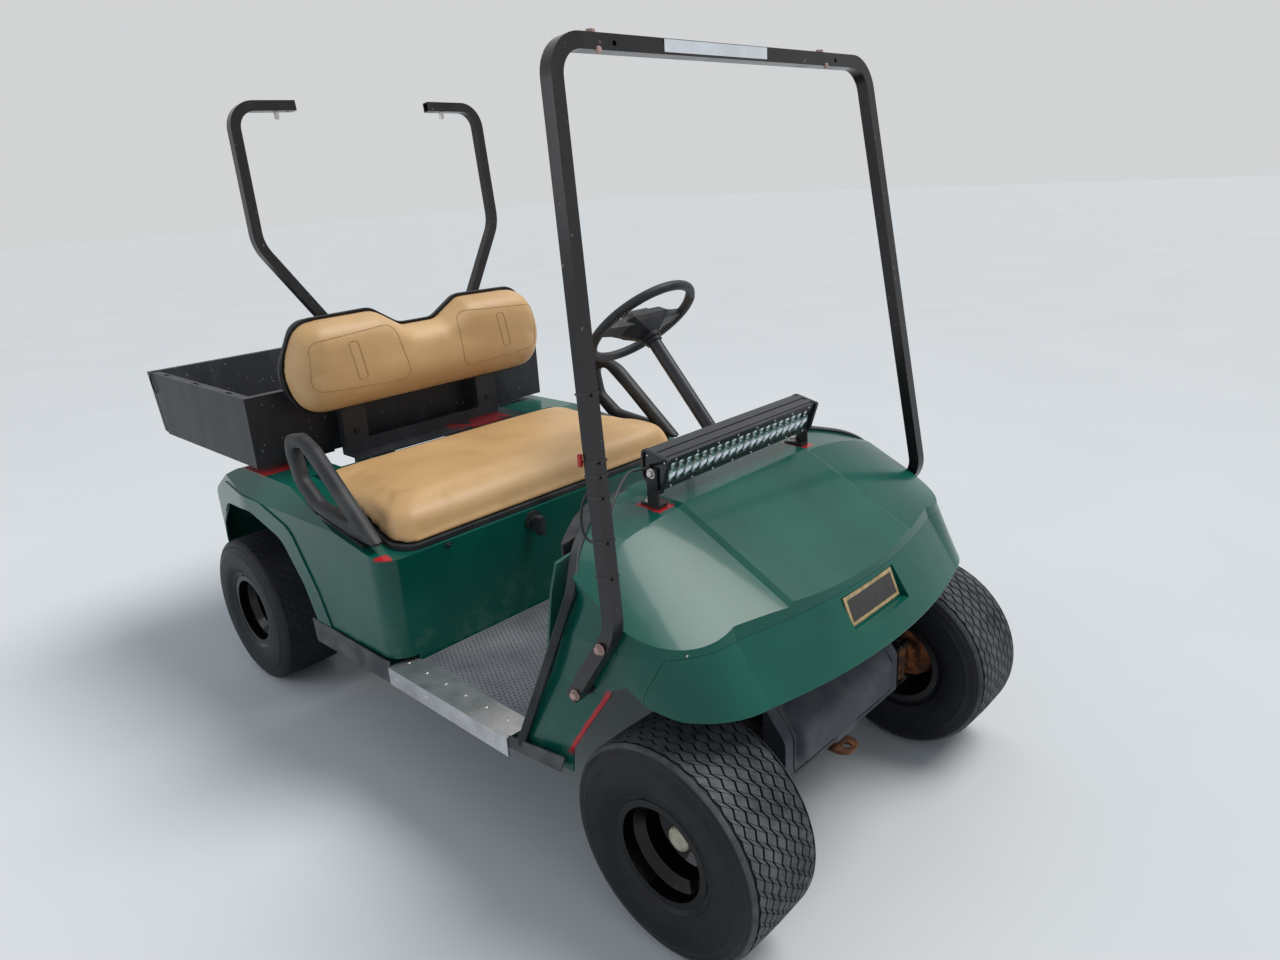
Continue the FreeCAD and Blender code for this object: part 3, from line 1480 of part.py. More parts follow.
def steering_column():
    """Column tube, the shaft below it and the gear that moves the tie rod."""
    top = wheel_collar_end + float(s.running_gap)
    tube = column_rod(float(s.column_radius), top, column_end - top)
    angle = math.radians(float(s.column_angle))
    joint = V(float(s.wheel_x) + column_end * math.cos(angle), float(s.wheel_y),
              float(s.wheel_z) - column_end * math.sin(angle))
    foot = V(float(arm_x), float(s.gear_y), float(rod_z) + 78)
    shaft = feature(Part.makeCylinder(11, (foot - joint).Length, joint, foot - joint))
    knuckles = feature(Part.makeSphere(21, joint))
    bore_radius = s.tie_rod_radius + s.running_gap
    housing = cylinder("Y", 22, as_size(-60), 170, (arm_x, rod_z))
    pinion = cylinder("Z", 16, rod_z, 82, (arm_x, s.gear_y))
    bracket = box(arm_x, gear_member_x + 24, as_size(-40), as_size(0), rod_z, s.rail_bottom)
    gear = cut(fuse(housing, pinion, bracket), cylinder("Y", bore_radius, as_size(-61), 172, (arm_x, rod_z)))
    return node(fuse(tube, knuckles, shaft, gear), "steering_column")


steering_column()


# Pedals and the direction knob

def pedals():
    parts = []
    for y, half, z in ((130, 34, 452), (236, 56, 440)):
        arm = extrude("XZ", [
            (668, 352), (684, 362), (652, z), (636, z),
        ], as_size(y - 8), as_size(y + 8))
        pad = extrude("XZ", [
            (660, z - 30), (668, z - 28), (640, z + 34), (632, z + 32),
        ], as_size(y - half), as_size(y + half))
        parts.append(cut(fuse(arm, pad), floor_sheet))
    return node(group(*parts), "pedals")


pedals()


def direction_knob():
    plate = cylinder("X", 26, s.pod_front_x, 5, (as_size(-110), as_size(575)))
    stem = cylinder("X", 12, s.pod_front_x + 5, 18, (as_size(-110), as_size(575)))
    grip = box(s.pod_front_x + 16, s.pod_front_x + 40, as_size(-119), as_size(-101), as_size(540), as_size(590))
    return node(fuse(plate, stem, grip), "direction_knob")


direction_knob()


# Lamp bar on the cowl

def lamp_bar():
    bar = across_both("XZ", [
        (s.bar_rear_x, s.bar_top),
        (s.bar_rear_x + 58, s.bar_top - 14, 4),
        (s.bar_rear_x + 36, s.bar_top - 84, 4),
        (s.bar_rear_x - 4, s.bar_top - 62, 10),
    ], s.bar_half_length)
    window = across_both("XZ", [
        (s.bar_rear_x + 60, s.bar_top - 28),
        (s.bar_rear_x + 44, s.bar_top - 82),
        (s.bar_rear_x + 32, s.bar_top - 74),
        (s.bar_rear_x + 46, s.bar_top - 24),
    ], s.bar_half_length - 14)
    node(cut(bar, window), "lamp_housing")
    lens = across_both("XZ", [
        (s.bar_rear_x + 52, s.bar_top - 27),
        (s.bar_rear_x + 38, s.bar_top - 74),
        (s.bar_rear_x + 33, s.bar_top - 73),
        (s.bar_rear_x + 47, s.bar_top - 26),
    ], s.bar_half_length - 15)
    node(lens, "lamp_lens")


lamp_bar()


def lamp_feet():
    sole_z = 780
    upright = box(s.bar_rear_x + 2, s.bar_rear_x + 32, s.bar_half_length + s.running_gap, s.bar_half_length + 5,
                  as_size(sole_z), s.bar_top - 36)
    sole = box(s.bar_rear_x - 18, s.bar_rear_x + 32, s.bar_half_length - 22, s.bar_half_length + 5,
               as_size(sole_z), as_size(sole_z + 18))
    skin = feature(cowl_form(-float(s.running_gap)))
    return node(both_sides(cut(fuse(upright, sole), skin)), "lamp_feet")


lamp_feet()


# Every object is checked before anything is written

doc.recompute()
faults = [o.Name for o in doc.Objects if "Invalid" in o.State or "Error" in o.State]
for item in nodes:
    shape = item.Shape
    if shape.isNull() or not shape.isValid() or not shape.Solids:
        faults.append(item.Label)
if faults:
    raise RuntimeError("faulty objects: " + ", ".join(faults))

# The sizes above are measured from a point ahead of the rear axle. The files are written with the
# origin under the middle of the cart, between the front of the tyres and the top of the tailgate.
gate_rise = s.box_top - s.box_bottom - 6
middle_x = (s.front_axle_x + wheel_radius + hinge_x - lean * gate_rise) / 2

os.makedirs("parts", exist_ok=True)
for item in nodes:
    moved = item.Shape.copy()
    moved.translate(V(-float(middle_x), 0, 0))
    moved.exportStep("parts/%s.step" % item.Label)
print(len(nodes), "nodes written")
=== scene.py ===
import json
import math

import bmesh
import bpy
from mathutils import Matrix, Vector
from mathutils.bvhtree import BVHTree


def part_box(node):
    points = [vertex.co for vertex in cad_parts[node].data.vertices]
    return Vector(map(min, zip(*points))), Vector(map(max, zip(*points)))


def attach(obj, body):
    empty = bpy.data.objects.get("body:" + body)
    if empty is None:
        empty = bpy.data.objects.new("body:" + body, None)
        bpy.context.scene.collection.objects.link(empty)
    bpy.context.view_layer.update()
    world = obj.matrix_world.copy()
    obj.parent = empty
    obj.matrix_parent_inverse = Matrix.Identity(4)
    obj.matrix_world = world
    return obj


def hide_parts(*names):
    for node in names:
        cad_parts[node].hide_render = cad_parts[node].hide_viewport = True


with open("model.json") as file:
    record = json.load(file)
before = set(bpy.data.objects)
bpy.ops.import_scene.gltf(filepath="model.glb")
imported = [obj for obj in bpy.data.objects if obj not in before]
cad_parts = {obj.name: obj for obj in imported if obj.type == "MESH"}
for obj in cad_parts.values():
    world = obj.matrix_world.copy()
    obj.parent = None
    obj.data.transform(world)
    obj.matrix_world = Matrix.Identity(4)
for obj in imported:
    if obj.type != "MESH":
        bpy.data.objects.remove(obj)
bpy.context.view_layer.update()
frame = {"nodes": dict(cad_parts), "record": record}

nodes = frame["nodes"]

# Places are in millimetres from the point that the part's own sizes are measured from.
# The frame's zero, under the middle of the cart's length, lies AHEAD metres in front of that point.
MM = 0.001
TYRE_FRONT = 1269.5
AHEAD = TYRE_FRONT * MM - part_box("tyre_front_right")[1][0]
X, Y, Z = range(3)
LEFT = (0, 1, 0)
UP = (0, 0, 1)

FRONT_AXLE_X = 1041
REAR_AXLE_X = -637
WHEEL_RADIUS = 228.5
FRONT_HALF_TRACK = 450
REAR_HALF_TRACK = 478
CROWN_HALF = 84
CROWN_DROP = 2


def at(x, y, z):
    return Vector((x * MM - AHEAD, y * MM, z * MM))


# Materials

def put(tree, socket, value):
    if isinstance(value, bpy.types.NodeSocket):
        tree.links.new(value, socket)
    elif isinstance(value, tuple) and len(value) < len(socket.default_value):
        socket.default_value = (*value, 1)
    else:
        socket.default_value = value


def add_node(tree, kind, inputs, output=0, **settings):
    made = tree.nodes.new("ShaderNode" + kind)
    for key, value in settings.items():
        setattr(made, key, value)
    for key, value in inputs.items():
        put(tree, made.inputs[key], value)
    return made.outputs[output]


class Value:
    """A shader value that takes part in sums."""

    def __init__(self, finish, socket):
        self.finish = finish
        self.socket = socket

    def join(self, kind, other=0.0):
        return self.finish.node("Math", {0: self, 1: other}, operation=kind)

    def __add__(self, other):
        return self.join("ADD", other)

    def __sub__(self, other):
        return self.join("SUBTRACT", other)

    def __mul__(self, other):
        return self.join("MULTIPLY", other)

    def __abs__(self):
        return self.join("ABSOLUTE")

    def most(self, other):
        return self.join("MAXIMUM", other)

    def rise(self, low, high):
        """0 below low, 1 above high."""
        return self.finish.node("MapRange", {0: self, 1: low, 2: high})

    def inside(self, low, high, soft):
        """1 between two values, with soft ends."""
        return self.rise(low - soft, low + soft) * self.rise(high + soft, high - soft)


class Finish:
    """A node material. A number that is the same all over sits on the shader's own socket."""

    def __init__(self, name, colour, rough, **fixed):
        self.material = bpy.data.materials.new(name)
        self.material.use_nodes = True
        self.tree = self.material.node_tree
        self.shader = self.tree.nodes["Principled BSDF"]
        self.place = self.node("TexCoord", {}, "Object")
        self.set("Base Color", colour)
        self.set("Roughness", rough)
        for socket, value in fixed.items():
            self.set(socket.replace("_", " "), value)

    def set(self, socket, value):
        put(self.tree, self.shader.inputs[socket], getattr(value, "socket", value))

    def node(self, kind, inputs, output=0, **settings):
        sockets = {key: getattr(value, "socket", value) for key, value in inputs.items()}
        return Value(self, add_node(self.tree, kind, sockets, output, **settings))

    def noise(self, scale, detail=4, stretch=(1, 1, 1)):
        place = self.node("VectorMath", {0: self.place, 1: stretch}, operation="MULTIPLY")
        return self.node("TexNoise", {"Vector": place, "Scale": scale, "Detail": detail})

    def cells(self, scale):
        return self.node("TexVoronoi", {"Vector": self.place, "Scale": scale}, "Distance")

    def axis(self, index):
        """Place along one axis, in millimetres from the part's own zero."""
        part = self.node("SeparateXYZ", {0: self.place}, index)
        if index == X:
            part = part + AHEAD
        return part.join("DIVIDE", MM)

    def from_axle(self, axle_x):
        """Distance from a wheel's middle in side view."""
        away = self.axis(X) - axle_x
        up = self.axis(Z) - WHEEL_RADIUS
        return (away * away + up * up).join("SQRT")

    def mix(self, share, first, second):
        return self.node("Mix", {0: share, 6: first, 7: second}, 2, data_type="RGBA")

    def bump(self, height, strength, distance):
        inputs = {"Height": height, "Strength": strength, "Distance": distance}
        self.set("Normal", self.node("Bump", inputs, "Normal"))


DUST = (0.27, 0.26, 0.24)
RED = (0.42, 0.012, 0.018)


def green_paint():
    paint = Finish("green_paint", (0.003, 0.08, 0.058), 0.28, Coat_Weight=0.22, Coat_Roughness=0.06,
                   Specular_IOR_Level=0.22)
    x, y, z = (paint.axis(index) for index in (X, Y, Z))
    patches = paint.noise(3.5, 5).rise(0.38, 0.66)
    colour = paint.mix(patches, (0.002, 0.068, 0.05), (0.004, 0.094, 0.067))
    grime = z.rise(480, 330) * paint.noise(22, 8).rise(0.5, 0.8)
    colour = paint.mix(grime * 0.22, colour, DUST)
    ragged = (paint.noise(28, 6) - 0.5) * 30

    def ahead(place_x, place_z, across, down):
        """Distance ahead of a line that leans in side view, through a point."""
        return (x - place_x) * across + (z - place_z) * -down

    # The old red shows along the wheel arch of the cowl, under the lamp's feet, under the cargo box's
    # front right corner and at the seat's front right corner.
    arch = ahead(831, 376, 0.844, 0.536).join("MINIMUM", ahead(930, 532, 0.534, 0.846))
    edge = (arch + ragged * 0.5).rise(-10, -8) * z.inside(366, 528, 8) * x.inside(812, 930, 5)
    wobble = abs(y) + ragged
    feet = x.inside(771, 839, 2) * wobble.rise(234, 237) * wobble.rise(283, 280) * z.rise(740, 750)
    corner = y.inside(-526, -428, 4) * x.inside(-600, -456, 4) * z.rise(664, 672)
    rim = z.inside(605, 640, 1) * (y + ragged).rise(-530, -536) * x.inside(168, 204, 3)
    paint.set("Base Color", paint.mix(edge.most(feet).most(corner).most(rim), colour, RED))
    scratches = paint.noise(60, 3, (1, 1, 9)).rise(0.68, 0.72)
    paint.set("Roughness", grime * 0.3 + scratches * 0.08 + 0.24)
    paint.bump(paint.noise(4.5, 2) + paint.noise(420, 2) * 0.004, 0.12, 0.012)
    return paint.material


def moulded_black(name, colour, rough, grain, dust):
    """Black plastic with a fine moulded grain and some dust."""
    black = Finish(name, colour, rough, Specular_IOR_Level=0.3)
    black.set("Base Color", black.mix(black.noise(14, 7).rise(0.42, 0.75) * dust, colour, DUST))
    black.set("Roughness", black.noise(5, 3) * 0.16 + (rough - 0.06))
    black.bump(black.cells(grain) + black.noise(grain * 0.7, 3) * 0.7, 0.3, 0.0004)
    return black.material


def worn_paint(name, colour, under, rough, wear, coat=0.0, rub=0.35, shine=0.3):
    """Sprayed black steel, with chips that show what lies under the paint, and pale rubbed places."""
    steel = Finish(name, colour, rough, Coat_Weight=coat, Coat_Roughness=0.12, Specular_IOR_Level=shine)
    chips = steel.noise(70, 9).rise(0.73 - wear, 0.75 - wear)
    rubbed = steel.noise(11, 5, (1, 1, 0.4)).rise(0.45, 0.8)
    base = steel.mix(rubbed * rub, colour, (0.11, 0.115, 0.125))
    steel.set("Base Color", steel.mix(chips, base, under))
    steel.set("Roughness", rubbed * 0.2 + (rough - 0.08))
    steel.bump(steel.noise(240, 3) * 0.25 - chips, 0.25, 0.0004)
    return steel.material


def rust():
    steel = Finish("rusty_steel", (0.2, 0.08, 0.035), 0.85, Metallic=0.25)
    spots = steel.noise(38, 9).rise(0.4, 0.62)
    deep = steel.noise(160, 5).rise(0.45, 0.7)
    base = steel.mix(spots, (0.055, 0.04, 0.034), (0.3, 0.115, 0.04))
    steel.set("Base Color", steel.mix(deep * 0.6, base, (0.12, 0.04, 0.018)))
    steel.bump(spots + deep, 0.6, 0.0008)
    return steel.material


def vinyl():
    """Tan vinyl: fine grain, faint creases, grey-brown soiling in places."""
    skin = Finish("tan_vinyl", (0.6, 0.37, 0.17), 0.42, Specular_IOR_Level=0.4)
    light = skin.noise(4, 4).rise(0.34, 0.7)
    base = skin.mix(light, (0.54, 0.32, 0.14), (0.62, 0.385, 0.178))
    base = skin.mix(skin.noise(13, 8).rise(0.56, 0.82) * 0.4, base, (0.34, 0.2, 0.09))
    fine = skin.noise(90, 6).rise(0.64, 0.8)
    skin.set("Base Color", skin.mix(fine * 0.25, base, (0.36, 0.21, 0.09)))
    skin.set("Roughness", light * 0.1 + 0.36)
    grain = skin.cells(520) + skin.noise(1400, 2) * 0.4
    skin.bump(grain + skin.noise(17, 3, (1, 0.35, 1)) * 2.0, 0.3, 0.001)
    return skin.material


def rubber(name, axle_x, half_track, depth, tread_dust_and_sheen):
    """Tyre rubber: dark sidewalls with fine rings, paler blocks and dark grooves; the blocks' pale colour is
    dust together with a painted sheen of the sky's reflection.
    """
    wall = (0.0085, 0.0095, 0.0125)
    skin = Finish(name, wall, 0.5, Specular_IOR_Level=0.24)
    radius = skin.from_axle(axle_x)
    across = abs(abs(skin.axis(Y)) - half_track)
    fall = across * (CROWN_DROP / CROWN_HALF) + (across - CROWN_HALF).most(0) * 0.58
    top = (radius + fall).rise(WHEEL_RADIUS - depth * 0.7, WHEEL_RADIUS - depth * 0.3)
    cloud = skin.noise(9, 8).rise(0.25, 0.75)
    shade = skin.noise(55, 5).rise(0.3, 0.8)
    # Pale bluish block tops: dust together with a painted sheen that stands in for the sky's reflection on
    # the tread.
    blocks = top * (cloud * 0.6 + shade * 0.4) * tread_dust_and_sheen
    walls = skin.noise(30, 7).rise(0.45, 0.85) * 0.05
    skin.set("Base Color", skin.mix(blocks.most(walls), wall, (0.15, 0.155, 0.165)))
    skin.set("Roughness", top * 0.2 + 0.48)
    rings = (radius * 1.6).join("SINE") * radius.rise(150, 160) * radius.rise(192, 186)
    skin.bump(rings * 0.25 + skin.noise(340, 5), 0.28, 0.0006)
    return skin.material


def rubber_mat():
    mat = Finish("rubber_mat", (0.115, 0.125, 0.14), 0.7)
    base = mat.mix(mat.noise(6, 7).rise(0.35, 0.72), (0.075, 0.083, 0.096), (0.16, 0.17, 0.185))
    grit = mat.noise(210, 4).rise(0.66, 0.72)
    mat.set("Base Color", mat.mix(grit * 0.5, base, (0.36, 0.33, 0.28)))
    mat.bump(mat.noise(500, 4), 0.3, 0.0005)
    return mat.material


def aluminium():
    metal = Finish("bare_aluminium", (0.55, 0.56, 0.58), 0.34, Metallic=0.9)
    dull = metal.noise(12, 6).rise(0.4, 0.75)
    metal.set("Base Color", metal.mix(dull, (0.62, 0.63, 0.65), (0.36, 0.365, 0.375)))
    metal.set("Roughness", dull * 0.24 + 0.26)
    metal.bump(metal.noise(90, 3, (0.02, 1, 1)), 0.15, 0.0004)
    return metal.material


def glass():
    clear = Finish("lamp_cover", (0.95, 0.97, 1.0), 0.06, Transmission_Weight=1.0, IOR=1.45)
    clear.set("Roughness", clear.noise(40, 5).rise(0.4, 0.8) * 0.08)
    return clear.material


def bright_metal(name, colour, rough):
    metal = Finish(name, colour, rough, Metallic=1.0)
    stain = metal.noise(140, 5).rise(0.5, 0.8)
    metal.set("Base Color", metal.mix(stain * 0.5, colour, (0.2, 0.17, 0.15)))
    metal.bump(metal.noise(300, 2), 0.1, 0.0003)
    return metal.material


def plain(name, colour, rough, spread=0.25, scale=60):
    """A small part's colour with light and dark patches and a faint grain."""
    paint = Finish(name, colour, rough)
    dark = tuple(part * (1 - spread) for part in colour)
    pale = tuple(min(1, part * (1 + spread)) for part in colour)
    paint.set("Base Color", paint.mix(paint.noise(scale, 5).rise(0.35, 0.65), dark, pale))
    paint.bump(paint.noise(scale * 9, 3), 0.2, 0.0003)
    return paint.material


def posts_paint():
    """The seat back's posts and the plate at their feet, which shows old red behind the left post; that red
    is darkened as painted shade.
    """
    paint = Finish("posts_paint", (0.02, 0.021, 0.025), 0.5)
    rubbed = paint.noise(11, 5, (1, 1, 0.4)).rise(0.45, 0.8)
    base = paint.mix(rubbed * 0.35, (0.018, 0.02, 0.024), (0.08, 0.085, 0.1))
    # Old red paint behind the left post, made darker than the red elsewhere as painted shade.
    red = paint.axis(Y).inside(70, 300, 8) * paint.axis(Z).rise(702, 698)
    red = red * paint.noise(24, 6).rise(0.4, 0.5)
    paint.set("Base Color", paint.mix(red, base, (0.2, 0.012, 0.014)))
    paint.bump(paint.noise(240, 3), 0.2, 0.0004)
    return paint.material


def rusty_hub():
    """The left front rim: paint outside, and bare rust on the hub and the back of the wheel disc."""
    black = (0.008, 0.008, 0.009)
    paint = Finish("rim_with_rusty_hub", black, 0.3, Coat_Weight=0.3)
    inner = paint.axis(Y).rise(FRONT_HALF_TRACK - 11, FRONT_HALF_TRACK - 13)
    bare = inner * paint.from_axle(FRONT_AXLE_X).rise(72, 66)
    flakes = paint.noise(45, 8).rise(0.4, 0.62)
    orange = paint.mix(flakes, (0.1, 0.035, 0.015), (0.36, 0.12, 0.035))
    paint.set("Base Color", paint.mix(bare, black, orange))
    paint.set("Roughness", bare * 0.5 + 0.28)
    paint.bump(flakes * bare, 0.5, 0.0008)
    return paint.material


BLACK = (0.014, 0.015, 0.018)
LOOKS = {
    "tyre": rubber("tyre_rubber_front", FRONT_AXLE_X, FRONT_HALF_TRACK, 4.0, 0.9),
    "rim_paint": worn_paint("rim_paint", (0.003, 0.003, 0.0035), (0.05, 0.04, 0.035), 0.16, 0.0, rub=0.0),
    "chassis_paint": worn_paint("chassis_paint", (0.016, 0.016, 0.018), (0.2, 0.12, 0.07), 0.62, 0.1),
    "rusty_steel": rust(),
    "mat": rubber_mat(),
    "rocker": moulded_black("rocker_plastic", (0.045, 0.05, 0.058), 0.6, 500, 0.4),
    "bare_aluminium": aluminium(),
    "body_paint": green_paint(),
    "battery": moulded_black("battery_case", (0.02, 0.021, 0.024), 0.55, 300, 0.3),
    "black_plastic": moulded_black("black_plastic", BLACK, 0.46, 700, 0.12),
    "tan_vinyl": vinyl(),
    "black_paint": worn_paint("black_paint", BLACK, (0.16, 0.12, 0.1), 0.42, 0.03, 0.1),
    "pedal_rubber": moulded_black("pedal_rubber", (0.018, 0.018, 0.02), 0.75, 260, 0.25),
    "lamp_cover": glass(),
    "bracket": worn_paint("bracket_paint", (0.012, 0.012, 0.013), (0.3, 0.3, 0.3), 0.4, 0.0),
}
REAR_RUBBER = rubber("tyre_rubber_rear", REAR_AXLE_X, REAR_HALF_TRACK, 1.6, 0.14)
BOX_PAINT = worn_paint("box_paint", (0.02, 0.021, 0.025), (0.19, 0.19, 0.2), 0.5, 0.05)
HOOP_PAINT = worn_paint("hoop_paint", (0.01, 0.008, 0.009), (0.16, 0.1, 0.085), 0.3, 0.04, 0.2, 0.1)
LAMP_PAINT = worn_paint("lamp_paint", (0.011, 0.012, 0.016), (0.1, 0.1, 0.1), 0.28, 0.0, 0.3, 0.12)
SHIELD_PLASTIC = moulded_black("shield_plastic", (0.045, 0.05, 0.066), 0.56, 420, 0.2)
BOLT_METAL = bright_metal("bolt_metal", (0.62, 0.6, 0.58), 0.35)
PINK_BOLT = plain("faded_bolt", (0.42, 0.27, 0.24), 0.55)
MIRROR = bright_metal("lamp_mirror", (0.93, 0.94, 0.95), 0.22)
LIGHT_CHIP = plain("light_chip", (0.85, 0.82, 0.6), 0.4)
CABLE = plain("cable_rubber", (0.012, 0.012, 0.013), 0.5)
TRIM = moulded_black("edge_trim", (0.012, 0.016, 0.018), 0.4, 400, 0.1)
WHITE_LABEL = plain("white_label", (0.72, 0.73, 0.76), 0.6, 0.06, 20)
GOLD = plain("plate_border", (0.38, 0.27, 0.12), 0.4)
PLATE_FIELD = plain("plate_field", (0.02, 0.018, 0.016), 0.35)
RED_PLUG = plain("red_plug", (0.42, 0.014, 0.016), 0.4)
CREAM = plain("cream_cap", (0.42, 0.4, 0.3), 0.5, 0.2, 90)
WORN_GRIP = plain("worn_grip", (0.1, 0.09, 0.08), 0.6)
THREAD = plain("seam_thread", (0.36, 0.21, 0.09), 0.6)
PIP_RUBBER = plain("pip_rubber", (0.035, 0.038, 0.043), 0.6)
CAP_YELLOW = plain("cap_yellow", (0.5, 0.34, 0.03), 0.5)
OWN_LOOKS = {
    "cargo_box": BOX_PAINT,
    "tailgate": BOX_PAINT,
    "box_mounts": BOX_PAINT,
    "lamp_housing": LAMP_PAINT,
    "floor_pan": LOOKS["body_paint"],
    "front_hoop": HOOP_PAINT,
    "roof_struts": HOOP_PAINT,
    "seat_back_posts": posts_paint(),
    "rim_front_left": rusty_hub(),
}

for part in frame["record"]["subparts"]:
    for holder in nodes[part["node"]].material_slots:
        holder.material = OWN_LOOKS.get(part["node"], LOOKS[part["material_slot"]])


def soften(piece, width, segments, angle=50):
    """Rounds the edges that are sharper than an angle in degrees; the width is in millimetres."""
    bevel = piece.modifiers.new("Soft edges", "BEVEL")
    bevel.width = width * MM
    bevel.segments = segments
    bevel.limit_method = "ANGLE"
    bevel.angle_limit = math.radians(angle)


# Rounded edges on moulded and folded pieces that come from the frame as they are.
# Columns: node, width in millimetres, segments
SOFT_EDGES = [
    ("front_hoop", 4.5, 3), ("roof_struts", 4, 3), ("seat_pod", 3, 2), ("cargo_box", 1, 1),
    ("tailgate", 1.5, 2), ("seat_back_posts", 2, 2), ("seat_back_shell", 4, 2), ("dash_panel", 4, 2),
    ("steering_wheel", 2, 2), ("direction_knob", 2, 2), ("lamp_housing", 1.5, 2), ("sill_strips", 1, 2),
    ("rockers", 1.5, 2), ("lamp_feet", 1, 2),
]
for name, width, segments in SOFT_EDGES:
    soften(nodes[name], width, segments, 38)


# Shapes

def rows_of(count, size):
    return [range(i * size, (i + 1) * size) for i in range(count)]


def between(rows, ring=False):
    """Faces between rows of point numbers that each run round; a row of one number is a tip."""
    faces = []
    count = max(len(row) for row in rows)
    for low, high in zip(rows, rows[1:] + (rows[:1] if ring else [])):
        for i in range(count):
            j = (i + 1) % count
            corners = (low[i % len(low)], low[j % len(low)], high[j % len(high)], high[i % len(high)])
            faces.append(tuple(dict.fromkeys(corners)))
    return faces


BOX_FACES = between(rows_of(2, 4)) + rows_of(2, 4)
SQUARE = ((1, 1), (-1, 1), (-1, -1), (1, -1))


def linked(name, data):
    made = bpy.data.objects.new(name, data)
    bpy.context.scene.collection.objects.link(made)
    return made


def solid_mesh(name, points, faces, weld=0):
    """A mesh from points in millimetres, with its faces turned outwards."""
    mesh = bpy.data.meshes.new(name)
    mesh.from_pydata([at(*p) for p in points], [], faces)
    shell = bmesh.new()
    shell.from_mesh(mesh)
    if weld:
        bmesh.ops.remove_doubles(shell, verts=shell.verts, dist=weld)
    bmesh.ops.recalc_face_normals(shell, faces=shell.faces)
    shell.to_mesh(mesh)
    shell.free()
    return mesh


def finish_piece(mesh, name, look, body, stands_for=(), smooth=35):
    mesh.materials.clear()
    mesh.materials.append(look)
    mesh.shade_smooth()
    mesh.set_sharp_from_angle(angle=math.radians(smooth))
    piece = linked(name, mesh)
    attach(piece, body)
    if stands_for:
        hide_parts(*stands_for)
    return piece


class Shape:
    """Gathers closed solids, in millimetres, into one mesh."""

    def __init__(self):
        self.points = []
        self.faces = []

    def add(self, points, faces):
        start = len(self.points)
        self.points += [Vector(p) for p in points]
        self.faces += [tuple(start + i for i in face) for face in faces]
        return self

    def prism(self, axis, corners, start, end):
        """A prism along an axis; a corner gives the other two places in the order x, y, z."""
        points = [(*corner[:axis], level, *corner[axis:]) for level in (start, end) for corner in corners]
        rows = rows_of(2, len(corners))
        return self.add(points, between(rows) + rows)

    def block(self, low, high):
        corners = [(low[X], low[Y]), (high[X], low[Y]), (high[X], high[Y]), (low[X], high[Y])]
        return self.prism(Z, corners, low[Z], high[Z])

    def lathe(self, centre, axis, profile, segments=24, ring=False):
        """Turns (height, radius) rows round an axis; a radius of 0 closes on the axis."""
        axis = Vector(axis).normalized()
        across = axis.orthogonal().normalized()
        beside = axis.cross(across)
        rows = []
        points = []
        for height, radius in profile:
            count = segments if radius else 1
            rows.append(range(len(points), len(points) + count))
            for i in range(count):
                turn = 2 * math.pi * i / segments
                out = across * math.cos(turn) + beside * math.sin(turn)
                points.append(Vector(centre) + axis * height + out * radius)
        return self.add(points, between(rows, ring))

    def sweep(self, path, section, closed=False, side=None):
        """Carries a flat section along a path; side is where its first axis points at the start."""
        path = [Vector(p) for p in path]
        last = len(path) - 1
        points = []
        for i, spot in enumerate(path):
            if closed:
                along = path[(i + 1) % len(path)] - path[i - 1]
            else:
                along = path[min(i + 1, last)] - path[max(i - 1, 0)]
            along.normalize()
            side = along.orthogonal() if side is None else side - along * side.dot(along)
            side.normalize()
            other = along.cross(side)
            points += [spot + side * a + other * b for a, b in section]
        rows = rows_of(len(path), len(section))
        return self.add(points, between(rows, closed) + ([] if closed else [rows[0], rows[-1]]))

    def tube(self, path, radius, sides=8, closed=False):
        turns = [2 * math.pi * j / sides for j in range(sides)]
        return self.sweep(path, [(radius * math.cos(t), radius * math.sin(t)) for t in turns], closed)

    def bolt(self, centre, axis, radius, height, washer):
        """A hexagon head on a washer; the axis points out of the surface."""
        self.lathe(centre, axis, [(0, 0), (0, washer), (1.6, washer), (1.6, 0)], 16)
        head = [(0, 0), (0, radius), (height - 1, radius), (height, radius - 1.4), (height, 0)]
        return self.lathe(Vector(centre) + Vector(axis).normalized() * 1.4, axis, head, 6)

    def dome(self, centre, axis, radius, height):
        turns = [t * math.pi / 8 for t in range(4)]
        rows = [(height * math.sin(turn), radius * math.cos(turn)) for turn in turns]
        return self.lathe(centre, axis, [(0, 0), *rows, (height, 0)], 12)

    def mirror(self):
        return self.add([(p[0], -p[1], p[2]) for p in self.points], self.faces)

    def make(self, name, look, slot, body="chassis", stands_for=(), smooth=35):
        mesh = solid_mesh(name, self.points, self.faces)
        return finish_piece(mesh, name, look, body, stands_for, smooth)


def smooth_path(points, pieces):
    """A Catmull-Rom curve through points."""
    spots = [Vector(p) for p in points]
    spots = [2 * spots[0] - spots[1]] + spots + [2 * spots[-1] - spots[-2]]
    made = []
    for a, b, c, d in zip(spots, spots[1:], spots[2:], spots[3:]):
        for i in range(pieces):
            t = i / pieces
            made.append(0.5 * (2 * b + (c - a) * t + (2 * a - 5 * b + 4 * c - d) * t * t
                               + (3 * b - a - 3 * c + d) * t * t * t))
    return made + [spots[-2]]


# Wheels

TREAD_STRIPS = 9
TREAD_EDGE = 87
STEPS_ROUND = 84
ZIGZAG = 5.0
BLOCK_FOOT = 0.6
BLOCK_TOP = 0.05
SHOULDER_FALL = 0.6
SHOULDER_WAVES = 120
SHOULDER_RADIUS = 208
SHOULDER_Y = 99.9
SHOULDER_LEAN = 0.37
SHOULDER_SWAY = 2.2

